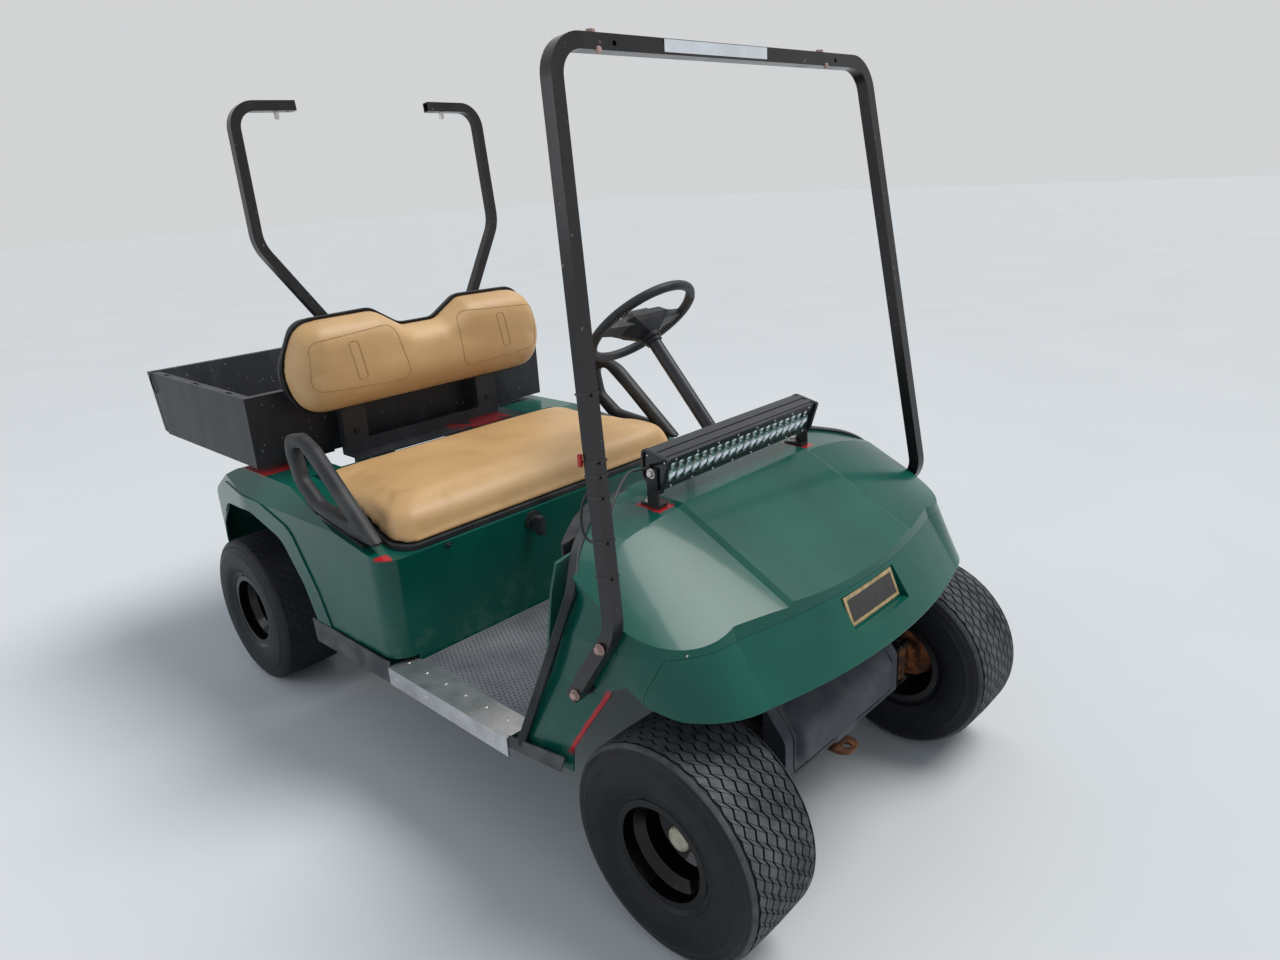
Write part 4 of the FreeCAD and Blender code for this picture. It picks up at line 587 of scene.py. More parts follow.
# One side wall of a tyre from bead to tread, as distance from the wheel's middle plane and radius
TYRE_WALL = [
    (88.6, 102), (88.6, 113), (90, 119), (94, 123), (97, 124.5), (98.5, 127), (99.5, 130), (103.5, 139),
    (106.2, 148), (107.2, 158), (107.4, 168), (107.2, 177), (106.6, 185), (106.4, 187), (107, 189),
    (106, 191), (104.6, 194), (102.6, 201), (99.8, 209), (96.8, 216), (94, 220.6), (91, 223.4), (88.4, 225),
]


def crown(y):
    """Radius of the tread at a place across it."""
    past = max(0, abs(y) - CROWN_HALF)
    return WHEEL_RADIUS - CROWN_DROP * (abs(y) - past) / CROWN_HALF - past * SHOULDER_FALL


def tyre(name, axle_x, half_track, side, depth, groove, look):
    """A carcass with raised blocks; zigzag grooves run round it and slanted cuts cross them."""
    middle_y = half_track * side
    wall = TYRE_WALL + [(87.6, 224.6 - depth)]
    tread = [(y, crown(y) - depth) for y in (84, 60, 30, 0, -30, -60, -84)]
    profile = wall + tread + [(-y, r) for y, r in reversed(wall)]
    shape = Shape().lathe((axle_x, middle_y, WHEEL_RADIUS), LEFT, profile, 96, True)
    width = 2 * TREAD_EDGE / TREAD_STRIPS
    keep_across = 1 - groove / width
    keep_round = 1 - groove * 0.36 / (2 * math.pi * WHEEL_RADIUS / STEPS_ROUND)

    def spot(turn, radius, y):
        return (axle_x + radius * math.sin(turn), middle_y + y, WHEEL_RADIUS + radius * math.cos(turn))

    for strip in range(TREAD_STRIPS):
        low = -TREAD_EDGE + width * strip
        for step in range(STEPS_ROUND):
            sway = ZIGZAG if (strip + step) % 2 else -ZIGZAG
            corners = [(step, low + sway), (step + 1, low - sway), (step + 2, low + width - sway),
                       (step + 1, low + width + sway)]
            corners = [(a, max(-TREAD_EDGE, min(TREAD_EDGE, y))) for a, y in corners]
            mid_step = sum(c[0] for c in corners) / 4
            mid_y = sum(c[1] for c in corners) / 4
            points = []
            for sunk in (depth + BLOCK_FOOT, BLOCK_TOP):
                for a, y in corners:
                    a = mid_step + (a - mid_step) * keep_round
                    y = mid_y + (y - mid_y) * keep_across
                    points.append(spot(2 * math.pi * a / STEPS_ROUND, crown(y) - sunk, y))
            shape.add(points, BOX_FACES)
    shape.make("tread_" + name, look, "tyre", "wheel_" + name, ["tyre_" + name], 32)
    lines = Shape()
    for edge in (-1, 1):
        path = []
        for i in range(SHOULDER_WAVES * 4):
            turn = 2 * math.pi * i / (SHOULDER_WAVES * 4)
            sway = SHOULDER_SWAY * math.sin(turn * SHOULDER_WAVES)
            path.append(spot(turn, SHOULDER_RADIUS + sway, edge * (SHOULDER_Y - SHOULDER_LEAN * sway)))
        lines.tube(path, 1.0, 4, True)
    lines.make("shoulder_lines_" + name, CABLE, "tyre", "wheel_" + name, smooth=60)


DISC_FACE = 8
LUG_CIRCLE = 50.8
VALVE_PLACE = (58, 18, 54)
CAP_END = {"front": 44, "rear": 8}

# Section of the rolled lip of a rim, as distance from the wheel's middle plane and radius
RIM_LIP = [(88.5, 109), (91.5, 110.5), (93.6, 114), (95.4, 119), (98, 122.5), (98.2, 124.6), (96.6, 126),
           (93, 123.5), (89.5, 119)]


def wheel_fittings(name, axle_x, half_track, side):
    """Four nuts and studs, the valve, the rim's lip and the dust cap over the hub."""
    body = "wheel_" + name
    rim = LOOKS["rim_paint"]
    out = (0, side, 0)
    hub = (axle_x, side * half_track, WHEEL_RADIUS)
    nuts = Shape()
    for i in range(4):
        turn = math.pi / 4 + i * math.pi / 2
        spot = (axle_x + LUG_CIRCLE * math.sin(turn), side * (half_track - DISC_FACE),
                WHEEL_RADIUS + LUG_CIRCLE * math.cos(turn))
        nuts.lathe(spot, out, [(-4, 0), (-4, 7), (0.3, 11.5), (14, 11), (16, 8), (16, 0)], 6)
        nuts.lathe(spot, out, [(15, 0), (15, 5.6), (21, 5.6), (22, 4.6), (22, 0)], 12)
    nuts.make("nuts_" + name, BOLT_METAL if name == "front_left" else rim, "rim_paint", body)
    valve = (axle_x + VALVE_PLACE[X], side * (half_track + VALVE_PLACE[Y]), WHEEL_RADIUS + VALVE_PLACE[Z])
    stem = [(-20, 0), (-20, 5.5), (6, 5), (8, 4), (26, 4), (28, 3), (28, 0)]
    Shape().lathe(valve, out, stem, 12).make("valve_" + name, CABLE, "tyre", body)
    lip = Shape().lathe(hub, out, RIM_LIP, 72, True)
    lip.make("rim_lip_" + name, rim, "rim_paint", body, smooth=40)
    end = CAP_END[name.split("_")[0]]
    cap = [(-34, 0), (-34, 26.8), (-9, 26.4), (-3, 24.5), (-0.6, 21), (0, 15), (0, 0)]
    look = CREAM if name == "front_right" else rim
    cap = Shape().lathe(hub, out, [(end + height, radius) for height, radius in cap], 32)
    cap.make("dust_cap_" + name, look, "rim_paint", body)


# Columns: name, axle, half track, side, groove depth, groove width, look
TYRES = [
    ("front_right", FRONT_AXLE_X, FRONT_HALF_TRACK, -1, 4.0, 4.6, LOOKS["tyre"]),
    ("front_left", FRONT_AXLE_X, FRONT_HALF_TRACK, 1, 4.0, 4.6, LOOKS["tyre"]),
    ("rear_right", REAR_AXLE_X, REAR_HALF_TRACK, -1, 1.6, 2.0, REAR_RUBBER),
    ("rear_left", REAR_AXLE_X, REAR_HALF_TRACK, 1, 1.6, 2.0, REAR_RUBBER),
]
for row in TYRES:
    tyre(*row)
for row in TYRES:
    wheel_fittings(*row[:4])


# Padded seat and seat back

def rounded(corners):
    """Points round a closed outline; a corner is (across, up, radius)."""
    points = []
    for i, (across, up, radius) in enumerate(corners):
        spot = Vector((across, up))
        before = (Vector(corners[i - 1][:2]) - spot).normalized()
        after = (Vector(corners[(i + 1) % len(corners)][:2]) - spot).normalized()
        half = before.angle(after) / 2
        centre = spot + (before + after).normalized() * (radius / math.sin(half))
        first = spot + before * (radius / math.tan(half)) - centre
        sweep = math.pi - 2 * half
        turn = 1 if before.x * after.y - before.y * after.x < 0 else -1
        steps = max(2, round(math.degrees(sweep) / 9))
        for k in range(steps + 1):
            angle = turn * sweep * k / steps
            points.append(centre + Vector((first.x * math.cos(angle) - first.y * math.sin(angle),
                                           first.x * math.sin(angle) + first.y * math.cos(angle))))
    return points


def even(points, spacing):
    """The same outline with its points about one spacing apart."""
    made = []
    for i, spot in enumerate(points):
        following = points[(i + 1) % len(points)]
        pieces = max(1, round((following - spot).length / spacing))
        made += [spot.lerp(following, k / pieces) for k in range(pieces)]
    return made


RINGS = 14
RING_CROWDING = 1.6
ROLL_POWER = 2.4
WELD = 0.0015


def pillow(outline, spine, roll, lift):
    """Rings from an outline in to a spine. lift(across, up, share) places a point; share is 0 at the edge
    and 1 from one roll radius inwards."""
    points = []
    for ring in range(RINGS + 1):
        share = (ring / RINGS) ** RING_CROWDING
        for spot in outline:
            inner = spine(spot)
            placed = spot.lerp(inner, share)
            rolled = min(1.0, share * (spot - inner).length / roll(spot))
            points.append(lift(placed.x, placed.y, math.sqrt(max(0.0, 1 - (1 - rolled) ** ROLL_POWER))))
    points += [lift(spot.x, spot.y, None) for spot in outline]
    rows = rows_of(RINGS + 2, len(outline))
    faces = between(rows[:-1]) + between([rows[0], rows[-1]]) + [tuple(rows[-1])]
    return solid_mesh("pillow", points, faces, WELD)


def evaluated(piece):
    return bpy.data.meshes.new_from_object(piece.evaluated_get(bpy.context.evaluated_depsgraph_get()))


def baked(piece):
    """The object's mesh with its modifiers applied."""
    mesh = evaluated(piece)
    piece.modifiers.clear()
    piece.data = mesh
    return mesh


CLOTH_FRAMES = 20
CLOTH_PRESSURE = 3
CLOTH_STIFFNESS = 25
CLOTH_BENDING = 8
MOST_SWELL = 9


def pad(mesh, name, body, stands_for, voxel, held, keep):
    """Remeshes the pillow and swells it as cloth. held(point) pins a point, and keep(point) puts a point
    back inside the space that the frame leaves for it."""
    piece = linked(name, mesh)
    remesh = piece.modifiers.new("Remesh", "REMESH")
    remesh.mode = "VOXEL"
    remesh.voxel_size = voxel
    mesh = baked(piece)
    start = [v.co.copy() for v in mesh.vertices]
    pins = piece.vertex_groups.new(name="Pins")
    pins.add([i for i, spot in enumerate(start) if held(spot)], 1.0, "REPLACE")
    cloth = piece.modifiers.new("Cloth", "CLOTH").settings
    cloth.vertex_group_mass = "Pins"
    cloth.use_pressure = True
    cloth.uniform_pressure_force = CLOTH_PRESSURE
    cloth.effector_weights.gravity = 0
    cloth.tension_stiffness = CLOTH_STIFFNESS
    cloth.compression_stiffness = CLOTH_STIFFNESS
    cloth.bending_stiffness = CLOTH_BENDING
    for step in range(1, CLOTH_FRAMES + 1):
        bpy.context.scene.frame_set(step)
    mesh = baked(piece)
    bpy.context.scene.frame_set(1)
    for v, old in zip(mesh.vertices, start):
        move = v.co - old
        if move.length > MOST_SWELL * MM:
            move *= MOST_SWELL * MM / move.length
        v.co = keep(old + move)
    bpy.data.objects.remove(piece)
    mesh.name = name
    made = finish_piece(mesh, name, LOOKS["tan_vinyl"], body, [stands_for], 60)
    made.modifiers.new("Smooth", "SMOOTH").iterations = 14
    finer = made.modifiers.new("Finer", "SUBSURF")
    finer.levels = finer.render_levels = 1
    return made


SEAT_FRONT_X = 200
SEAT_REAR_X = -296
SEAT_FRONT_HALF = 520
SEAT_REAR_HALF = 438
SEAT_TOP = 702
SEAT_LIMIT = 0.716
SEAT_SPINE_X = -70
SEAT_SPINE_HALF = 270
RIM_FRONT = 606
DECK = 690
POD_FRONT_X = 208
CUSHION_BASE = 12.5
SEAT_INSET = 5
CLEAR = 0.3


def seat_line(x):
    """Height of the pod's rim under the seat."""
    return RIM_FRONT + (DECK - RIM_FRONT) * (POD_FRONT_X - x) / (POD_FRONT_X - SEAT_REAR_X + 10)


def seat_cushion():
    front = SEAT_FRONT_X - SEAT_INSET
    rear = SEAT_REAR_X + SEAT_INSET
    front_half = SEAT_FRONT_HALF - SEAT_INSET
    rear_half = SEAT_REAR_HALF - SEAT_INSET
    outline = even(rounded([(front, front_half, 60), (rear, rear_half, 50), (rear, -rear_half, 50),
                            (front, -front_half, 60)]), 9)

    def spine(spot):
        return Vector((SEAT_SPINE_X, max(-SEAT_SPINE_HALF, min(SEAT_SPINE_HALF, spot.y))))

    def roll(spot):
        return 46 + 18 * min(1, max(0, (spot.x - 40) / 120))

    def lift(x, y, share):
        base = seat_line(x) + CUSHION_BASE + CLEAR
        top = SEAT_TOP + (SEAT_FRONT_X - x) * 0.016 + 4 * math.cos(y / SEAT_FRONT_HALF * 1.5)
        return (x, y, base if share is None else base + 2 + (top - base - 2) * share)

    def held(spot):
        x = (spot[0] + AHEAD) / MM
        return spot[2] / MM < seat_line(x) + CUSHION_BASE + 12

    def keep(spot):
        x = (spot[0] + AHEAD) / MM
        share = (x - SEAT_REAR_X) / (SEAT_FRONT_X - SEAT_REAR_X)
        limit = (SEAT_REAR_HALF + (SEAT_FRONT_HALF - SEAT_REAR_HALF) * share + 2) * MM
        low = (seat_line(x) + CUSHION_BASE + CLEAR) * MM
        return Vector((min(spot[0], (SEAT_FRONT_X + 3) * MM - AHEAD), max(-limit, min(limit, spot[1])),
                       max(low, min(spot[2], SEAT_LIMIT))))

    pad(pillow(outline, spine, roll, lift), "padded_seat", "seat", "seat_cushion", 0.008, held, keep)


SHELL_FACE_X = -412
BACK_DEPTH = 100
BACK_INSET = 6
BACK_HALF = 466
BACK_SPINE_HALF = 345
BACK_SPINE_Z = 962
BACK_ROLL = 74


def back_outline(inset, spacing):
    """The seat back from in front. Its corners on the left are (y, z, radius), and the right mirrors them."""
    half = [
        (60, 1056 - inset, 60), (150, 1113 - inset, 60), (390, 1109 - inset, 80),
        (BACK_HALF - inset, 960, 160), (396, 840 + inset, 80),
    ]
    return even(rounded(half + [(-y, z, radius) for y, z, radius in reversed(half)]), spacing)


def back_cushion():
    def spine(spot):
        return Vector((max(-BACK_SPINE_HALF, min(BACK_SPINE_HALF, spot.x)), BACK_SPINE_Z))

    def roll(spot):
        return BACK_ROLL

    def lift(y, z, share):
        if share is None:
            return (SHELL_FACE_X + CLEAR, y, z)
        swell = 5 * math.cos(math.pi * y / BACK_HALF) ** 2
        return (SHELL_FACE_X + 8 + (BACK_DEPTH - 12 - swell) * share, y, z)

    def held(spot):
        return (spot[0] + AHEAD) / MM < SHELL_FACE_X + 14

    def keep(spot):
        front = (SHELL_FACE_X + BACK_DEPTH + 6) * MM - AHEAD
        return Vector((max((SHELL_FACE_X + CLEAR) * MM - AHEAD, min(spot[0], front)), spot[1], spot[2]))

    mesh = pillow(back_outline(BACK_INSET, 9), spine, roll, lift)
    return pad(mesh, "padded_back", "chassis", "seat_back_cushion", 0.006, held, keep)


seat_cushion()
back_piece = back_cushion()

# Corners of the two stitched panels of the seat back and of the slot in each: y, z, radius
STITCHED = [
    [(-392, 1054, 30), (-128, 1072, 40), (-92, 904, 26), (-404, 920, 30)],
    [(400, 1054, 30), (96, 1072, 40), (96, 904, 26), (392, 918, 30)],
    [(-282, 1042, 9), (-254, 1042, 9), (-238, 934, 9), (-266, 932, 9)],
    [(236, 1046, 9), (264, 1046, 9), (280, 940, 9), (252, 940, 9)],
]


def stitched_lines():
    """Stitches laid on the front of the seat back, and the piping round its edge."""
    mesh = evaluated(back_piece)
    surface = BVHTree.FromPolygons([v.co for v in mesh.vertices], [p.vertices for p in mesh.polygons])
    bpy.data.meshes.remove(mesh)
    shape = Shape()
    for corners in STITCHED:
        path = []
        for spot in even(rounded(corners), 7):
            hit = surface.ray_cast(at(-200, spot.x, spot.y), Vector((-1, 0, 0)))[0]
            if hit is not None:
                path.append(((hit.x + AHEAD) / MM - 0.2, spot.x, spot.y))
        shape.tube(path, 1.3, 6, True)
    shape.make("seat_back_seams", THREAD, "tan_vinyl", smooth=60)
    path = [(SHELL_FACE_X + 1, p.x, p.y) for p in back_outline(0, 12)]
    piping = Shape().tube(path, 3.2, 8, True)
    piping.make("seat_back_piping", LOOKS["black_plastic"], "black_plastic", smooth=60)


stitched_lines()


# Arm rests

ARMREST_TOP = 12
REST_INNER = SEAT_FRONT_HALF + 4
REST_HALF = 17
REST_SIDES = 12
REST_SQUARENESS = 0.45
REST_MIDDLE = (-112, 762)

# Corners of an arm rest's outer and inner outline in side view: x, z, radius
REST_OUTER = [
    (168, 634, 5), (60, 724, 60), (-80, 842, 90), (-146, 868, 60), (-216, 856, 34), (-229, 808, 30),
    (-204, 724, 50), (-126, 660, 60), (-14, 638, 60),
]
REST_HOLE = [
    (56, 675, 5), (-60, 774, 40), (-138, 834, 34), (-190, 822, 20), (-172, 742, 40), (-100, 692, 40),
]


def crossing(start, along, a, b):
    """How far a ray runs to the line from a to b, or None."""
    side = b - a
    cut = along.x * side.y - along.y * side.x
    if abs(cut) < 1e-9:
        return None
    gap = a - start
    far = (gap.x * side.y - gap.y * side.x) / cut
    share = (gap.x * along.y - gap.y * along.x) / cut
    return far if far > 0 and 0 <= share <= 1 else None


def armrests():
    """A rounded loop: its section is carried round between an outer and an inner outline."""
    outer = even(rounded(REST_OUTER), 9)
    inner = rounded(REST_HOLE)
    middle = Vector(REST_MIDDLE)
    points = []
    for spot in outer:
        away = (spot - middle).normalized()
        cuts = [crossing(middle, away, a, b) for a, b in zip(inner, inner[1:] + inner[:1])]
        near = middle + away * min(cut for cut in cuts if cut is not None)
        width = (spot - near).length
        for k in range(REST_SIDES):
            turn = 2 * math.pi * k / REST_SIDES
            a, b = (math.copysign(abs(c) ** REST_SQUARENESS, c) for c in (math.cos(turn), math.sin(turn)))
            place = near + away * (width * (0.5 + 0.5 * a))
            low = seat_line(place.x) + ARMREST_TOP
            points.append((place.x, REST_INNER + REST_HALF + REST_HALF * b, max(place.y, low)))
    shape = Shape().add(points, between(rows_of(len(outer), REST_SIDES), True)).mirror()
    shape.make("rounded_armrests", LOOKS["black_plastic"], "black_plastic", "seat", ["armrests"], 50)


armrests()


# Floor mat, sills and cockpit

MAT_TOP = 330
MAT_X = (220, 640)
MAT_HALF = 498
PIP_PITCH = 12


def mat_pips():
    shape = Shape()
    for i in range(int((MAT_X[1] - MAT_X[0]) / PIP_PITCH)):
        for j in range(int(2 * MAT_HALF / PIP_PITCH)):
            x = MAT_X[0] + PIP_PITCH * (i + 0.5)
            y = -MAT_HALF + PIP_PITCH * (j + 0.5 + 0.5 * (i % 2))
            shape.lathe((x, y, MAT_TOP - 0.4), UP, [(0, 0), (0, 2.7), (1.5, 1.9), (1.5, 0)], 5)
    shape.make("mat_pips", PIP_RUBBER, "mat", smooth=20)


def sill_rivets():
    shape = Shape()
    for i in range(6):
        shape.dome((205 + 78 * i, -536, 333), UP, 4.2, 1.8)
    for i in range(4):
        shape.lathe((215 + 128 * i, -582, 310), (0, -1, 0), [(-0.5, 0), (-0.5, 5), (1.6, 3.4), (1.6, 0)], 12)
    shape.mirror().make("sill_rivets", BOLT_METAL, "bare_aluminium")


TRIM_PATH = [
    (726, 344, 790), (745, 391, 787), (772, 434, 777), (800, 478, 763), (826, 511, 743), (843, 536, 716),
    (842, 551, 686), (806, 559, 599), (764, 564, 507), (722, 568, 416), (692, 571, 350), (689, 571, 330),
]
TRIM_SECTION = [(-9, -8), (9, -8), (9, 8), (-9, 8)]


def edge_trim():
    """The black rubber edge behind the cowl: along the dash, then down each side to the floor."""
    shape = Shape().sweep(smooth_path(TRIM_PATH, 5), TRIM_SECTION, side=Vector(LEFT))
    soften(shape.mirror().make("cowl_edge_trim", TRIM, "black_plastic", smooth=40), 4.5, 3)


mat_pips()
sill_rivets()
edge_trim()


# Hoop: bolts, cable ties, the blank label, the plug and the lamp's lead

POST_RISE = (-139, 82, 965)
TIE_HALF = 14.9
TIE_WIDTH = 4
TIE_PLACES = [
    (915, -522, 1098), (932, -531, 985), (935, -533, 960), (940, -536, 924), (951, -543, 847),
    (960, -548, 784),
]


def square_band(shape, centre, along):
    """A flat band round a square tube."""
    across = Vector(LEFT)
    across = (across - along * across.dot(along)).normalized()
    up = along.cross(across)
    points = []
    for level, reach in ((-1, TIE_HALF - 2.2), (-1, TIE_HALF), (1, TIE_HALF), (1, TIE_HALF - 2.2)):
        middle = centre + along * (level * TIE_WIDTH / 2)
        points += [middle + (across * a + up * b) * reach for a, b in SQUARE]
    shape.add(points, between(rows_of(4, 4), True))


def hoop_fittings():
    bolts = Shape()
    for x, z in ((874, 525), (953, 649)):
        bolts.bolt((x, 573, z), LEFT, 8, 8, 11)
    bolts.mirror().make("hoop_bolts", PINK_BOLT, "black_paint")
    top = Shape()
    for y in (-380, 300):
        top.bolt((835, y, 1661), UP, 8, 7, 11)
        top.lathe((850, y, 1636), (1, 0, 0), [(-1, 0), (-1, 6), (4, 5.4), (5, 4), (5, 0)], 12)
    top.make("hoop_top_bolts", PINK_BOLT, "black_paint")
    ties = Shape()
    for x, y, z in TIE_PLACES:
        square_band(ties, Vector((x, y, z)), Vector(POST_RISE).normalized())
        ties.block((x + 13, y - 4, z - 3), (x + 18, y + 2, z + 3))
    ties.make("cable_ties", CABLE, "black_plastic")
    label = Shape().block((849.7, -216, 1638), (850.4, 88, 1661.8))
    label.block((824, -216, 1661.3), (850.4, 88, 1661.9)).make("blank_label", WHITE_LABEL, "black_paint")
    plug = Shape().block((909, -552, 975), (917, -544, 998))
    soften(plug.make("lead_plug", RED_PLUG, "black_plastic"), 2, 2)


# The lead runs from the bar's right end over to the post and down its inner side to the foot, with a loop
# beside the post.
LEAD_PATH = [
    (800, -258, 880), (822, -290, 884), (850, -345, 902), (880, -402, 916), (908, -456, 908),
    (928, -498, 886), (940, -519, 858), (948, -526, 820), (957, -531, 770), (965, -536, 720),
    (958, -538, 684), (930, -538, 648), (906, -538, 612),
]
LOOP_PATH = [
    (921, -540, 930), (914, -547, 916), (910, -553, 892), (913, -556, 866), (923, -556, 848),
    (938, -552, 843), (950, -545, 846),
]


def lamp_lead():
    lead = Shape().tube(smooth_path(LEAD_PATH, 6), 3.1)
    lead.tube(smooth_path(LOOP_PATH, 6), 2.6).make("lamp_lead", CABLE, "black_plastic", smooth=60)


hoop_fittings()
lamp_lead()


# Lamp bar: mirrors, chips, front frame, pane, screws, fins and end caps

BAR_HALF = 266
LAMP_CELLS = 20
WINDOW_HALF = 250
BAR_SLOPE = Vector((-22, 0, -70)).normalized()
BAR_FACE = Vector((854, 0, 900))
BAR_OUT = Vector((-BAR_SLOPE.z, 0, BAR_SLOPE.x)).normalized()
BOWL = [(0.2, 0), (0.2, 3.4), (0.9, 6.8), (2.2, 9.8), (3.7, 11.9), (3.7, 12.3), (-0.3, 12.3), (-0.3, 0)]
CAP_MIDDLE = Vector((819, 876))


def lamp_cells():
    pitch = 2 * WINDOW_HALF / LAMP_CELLS
    middle = BAR_FACE + BAR_SLOPE * 38.5 - BAR_OUT * 6
    mirrors = Shape()
    chips = Shape()
    for i in range(LAMP_CELLS):
        spot = middle + Vector((0, -WINDOW_HALF + pitch * (i + 0.5), 0))
        mirrors.lathe(spot, BAR_OUT, BOWL, 20)
        chips.lathe(spot, BAR_OUT, [(0.1, 0), (0.1, 3.1), (1.2, 3.1), (2, 1.8), (2.2, 0)], 10)
        for reach in (-17, 17):
            facet = [(-0.3, 0), (-0.3, 7.5), (1.8, 6.9), (3, 3.5), (3, 0)]
            mirrors.lathe(spot + BAR_SLOPE * reach, BAR_OUT, facet, 8)
    mirrors.make("lamp_mirrors", MIRROR, "lamp_cover", smooth=50)
    chips.make("lamp_chips", LIGHT_CHIP, "lamp_cover")


def lamp_front():
    borders = Shape()
    for low, high in ((1, 12.5), (64.5, 72)):
        a = BAR_FACE + BAR_SLOPE * low
        b = BAR_FACE + BAR_SLOPE * high
        corners = [(a.x - 4, a.z), (b.x - 4, b.z), (b.x + 0.7, b.z), (a.x + 0.7, a.z)]
        borders.prism(Y, corners, -BAR_HALF + 8, BAR_HALF - 8)
    borders.make("lamp_frame", LAMP_PAINT, "black_plastic")
    pane = BAR_FACE - BAR_OUT * 1.9
    top, low = pane + BAR_SLOPE * 12, pane + BAR_SLOPE * 65
    corners = [(top.x, top.z), (low.x, low.z), (low.x + 1, low.z), (top.x + 1, top.z)]
    pane = Shape().prism(Y, corners, -WINDOW_HALF - 4, WINDOW_HALF + 4)
    pane.make("lamp_pane", LOOKS["lamp_cover"], "lamp_cover", stands_for=["lamp_lens"])
    screws = Shape()
    for i in range(8):
        for down in (6, 68.5):
            spot = BAR_FACE + BAR_SLOPE * down + Vector((0, -238 + 68 * i, 0)) + BAR_OUT * 0.7
            screws.dome(spot, BAR_OUT, 2.4, 1.4)
    screws.make("lamp_screws", BOLT_METAL, "bracket")


def lamp_fins():
    fins = Shape()
    half = BAR_HALF - 4
    for i in range(9):
        z = 902 - i * 6
        tip = 786 + abs(i - 3) * 0.6
        fins.prism(Y, [(797, z), (tip, z - 0.5), (tip, z - 2.5), (797, z - 3)], -half, half)
    for x in (808, 832):
        z = 914 - (x - 796) * 14 / 58
        fins.prism(Y, [(x, z - 1), (x, z + 1.8), (x + 12, z - 1.1), (x + 12, z - 5)], -half, half)
    fins.make("lamp_fins", LAMP_PAINT, "black_plastic")


def lamp_caps():
    rim = rounded([(786, 918, 12), (860, 901, 5), (834, 822, 5), (784, 850, 26)])
    hollow = [CAP_MIDDLE + (spot - CAP_MIDDLE) * 0.86 for spot in rim]
    caps = Shape().prism(Y, [tuple(spot) for spot in rim], BAR_HALF - 6, BAR_HALF - 1)
    points = []
    for outline, out in ((rim, -1), (rim, 4.5), (hollow, 4.5), (hollow, -1)):
        points += [(spot.x, BAR_HALF + out, spot.y) for spot in outline]
    caps.add(points, between(rows_of(4, len(rim)), True))
    soften(caps.mirror().make("lamp_caps", LAMP_PAINT, "black_plastic"), 1, 2)
    fixings = Shape()
    fixings.bolt((813, BAR_HALF + 5, 866), LEFT, 7.5, 7, 11)
    fixings.bolt((794, BAR_HALF - 8, 799), UP, 8.5, 8, 11.5)
    for x, z in ((846, 892), (834, 838), (799, 900)):
        fixings.dome((x, BAR_HALF - 1, z), LEFT, 2.8, 1.6)
    fixings.mirror().make("lamp_bolts", BOLT_METAL, "bracket")


lamp_cells()
lamp_front()
lamp_fins()
lamp_caps()


# Nose, cargo box, roof struts and small things on the body

PLATE_OUT = Vector((64, 0, 27)).normalized()
PLATE_MIDDLE = Vector((1162.5, 0, 587))


def plate_slab(name, look, slot, half_wide, half_high, low, high):
    path = [PLATE_MIDDLE + PLATE_OUT * level for level in (low, high)]
    section = [(a * half_wide, b * half_high) for a, b in SQUARE]
    return Shape().sweep(path, section, side=Vector(LEFT)).make(name, look, slot)


def nose_plate():
    """A blank plate on the recess's sloping floor."""
    soften(plate_slab("plate_border", GOLD, "bare_aluminium", 95, 31, 0.3, 3.4), 2.5, 3)
    soften(plate_slab("plate_field", PLATE_FIELD, "black_plastic", 86, 23, 3.2, 3.9), 0.4, 1)


HOOK_PATH = [
    (-1196, -531, 905), (-1204, -533, 893), (-1200, -534, 872), (-1188, -534, 852), (-1178, -532, 846),
]


def small_fittings():
    hook = Shape().tube(smooth_path(HOOK_PATH, 5), 2.4)
    hook.make("box_hook", LOOKS["bracket"], "black_paint", smooth=60)
    struts = Shape().lathe((-530.5, 270, 1655), (0, 0, -1), [(-1, 0), (-1, 7), (18, 7), (19, 5), (19, 0)], 12)
    struts.mirror().make("strut_bolts", BOLT_METAL, "black_paint")
    clip = Shape().block((204, -392, 597), (212, -372, 602)).block((206, -388, 592), (213, -376, 598))
    soften(clip.make("seat_clip", LOOKS["bracket"], "black_plastic"), 1, 2)
    screw = Shape().dome((1068, -474, 633), (0.35, -0.65, 0.67), 4.5, 2.2)
    screw.mirror().make("seam_screws", BOLT_METAL, "body_paint")
    posts = Shape()
    for z in (760, 930):
        posts.bolt((-424, 244, z), (1, 0, 0), 7, 5, 10)
    posts.mirror().make("post_bolts", LOOKS["bracket"], "black_paint")


nose_plate()
small_fittings()


# Front shield

SHIELD_X = 1108
SHIELD_LINE_X = SHIELD_X + 0.4
SHIELD_LINE_HALF = 200
SHIELD_HALF = 230
SHIELD_LOW = 232
SHIELD_BEND = 98
SHIELD_BACK = -0.625
SHIELD_UP = 0.781
SHIELD_LENGTH = 187
SHIELD_WALL = 4
SHIELD_ROWS = 40
COLUMN_PITCH = 5
PANEL_DEPTH = 16
PANEL_ROLL = 17
TAB_DEPTH = 6
TAB_ROLL = 5
CHEEK = [(SHIELD_X - 1, SHIELD_LOW), (SHIELD_X - 1, 326), (1053, 394), (1053, 292)]

# Half width, low edge, high edge and corner radius of the raised panel and of the tab
PANEL = (190, 20, 172, 34)
TAB = (46, -60, 40, 14)


def inside_by(across, along, half, low, high, corner):
    """How far a point is inside a rectangle with round corners."""
    middle = (low + high) / 2
    a = abs(across) - half + corner
    b = abs(along - middle) - (high - low) / 2 + corner
    return corner - math.hypot(max(a, 0), max(b, 0)) - min(max(a, b), 0)


def rolled(inside, width):
    return 1 - (1 - min(1, max(0, inside / width))) ** 2.2


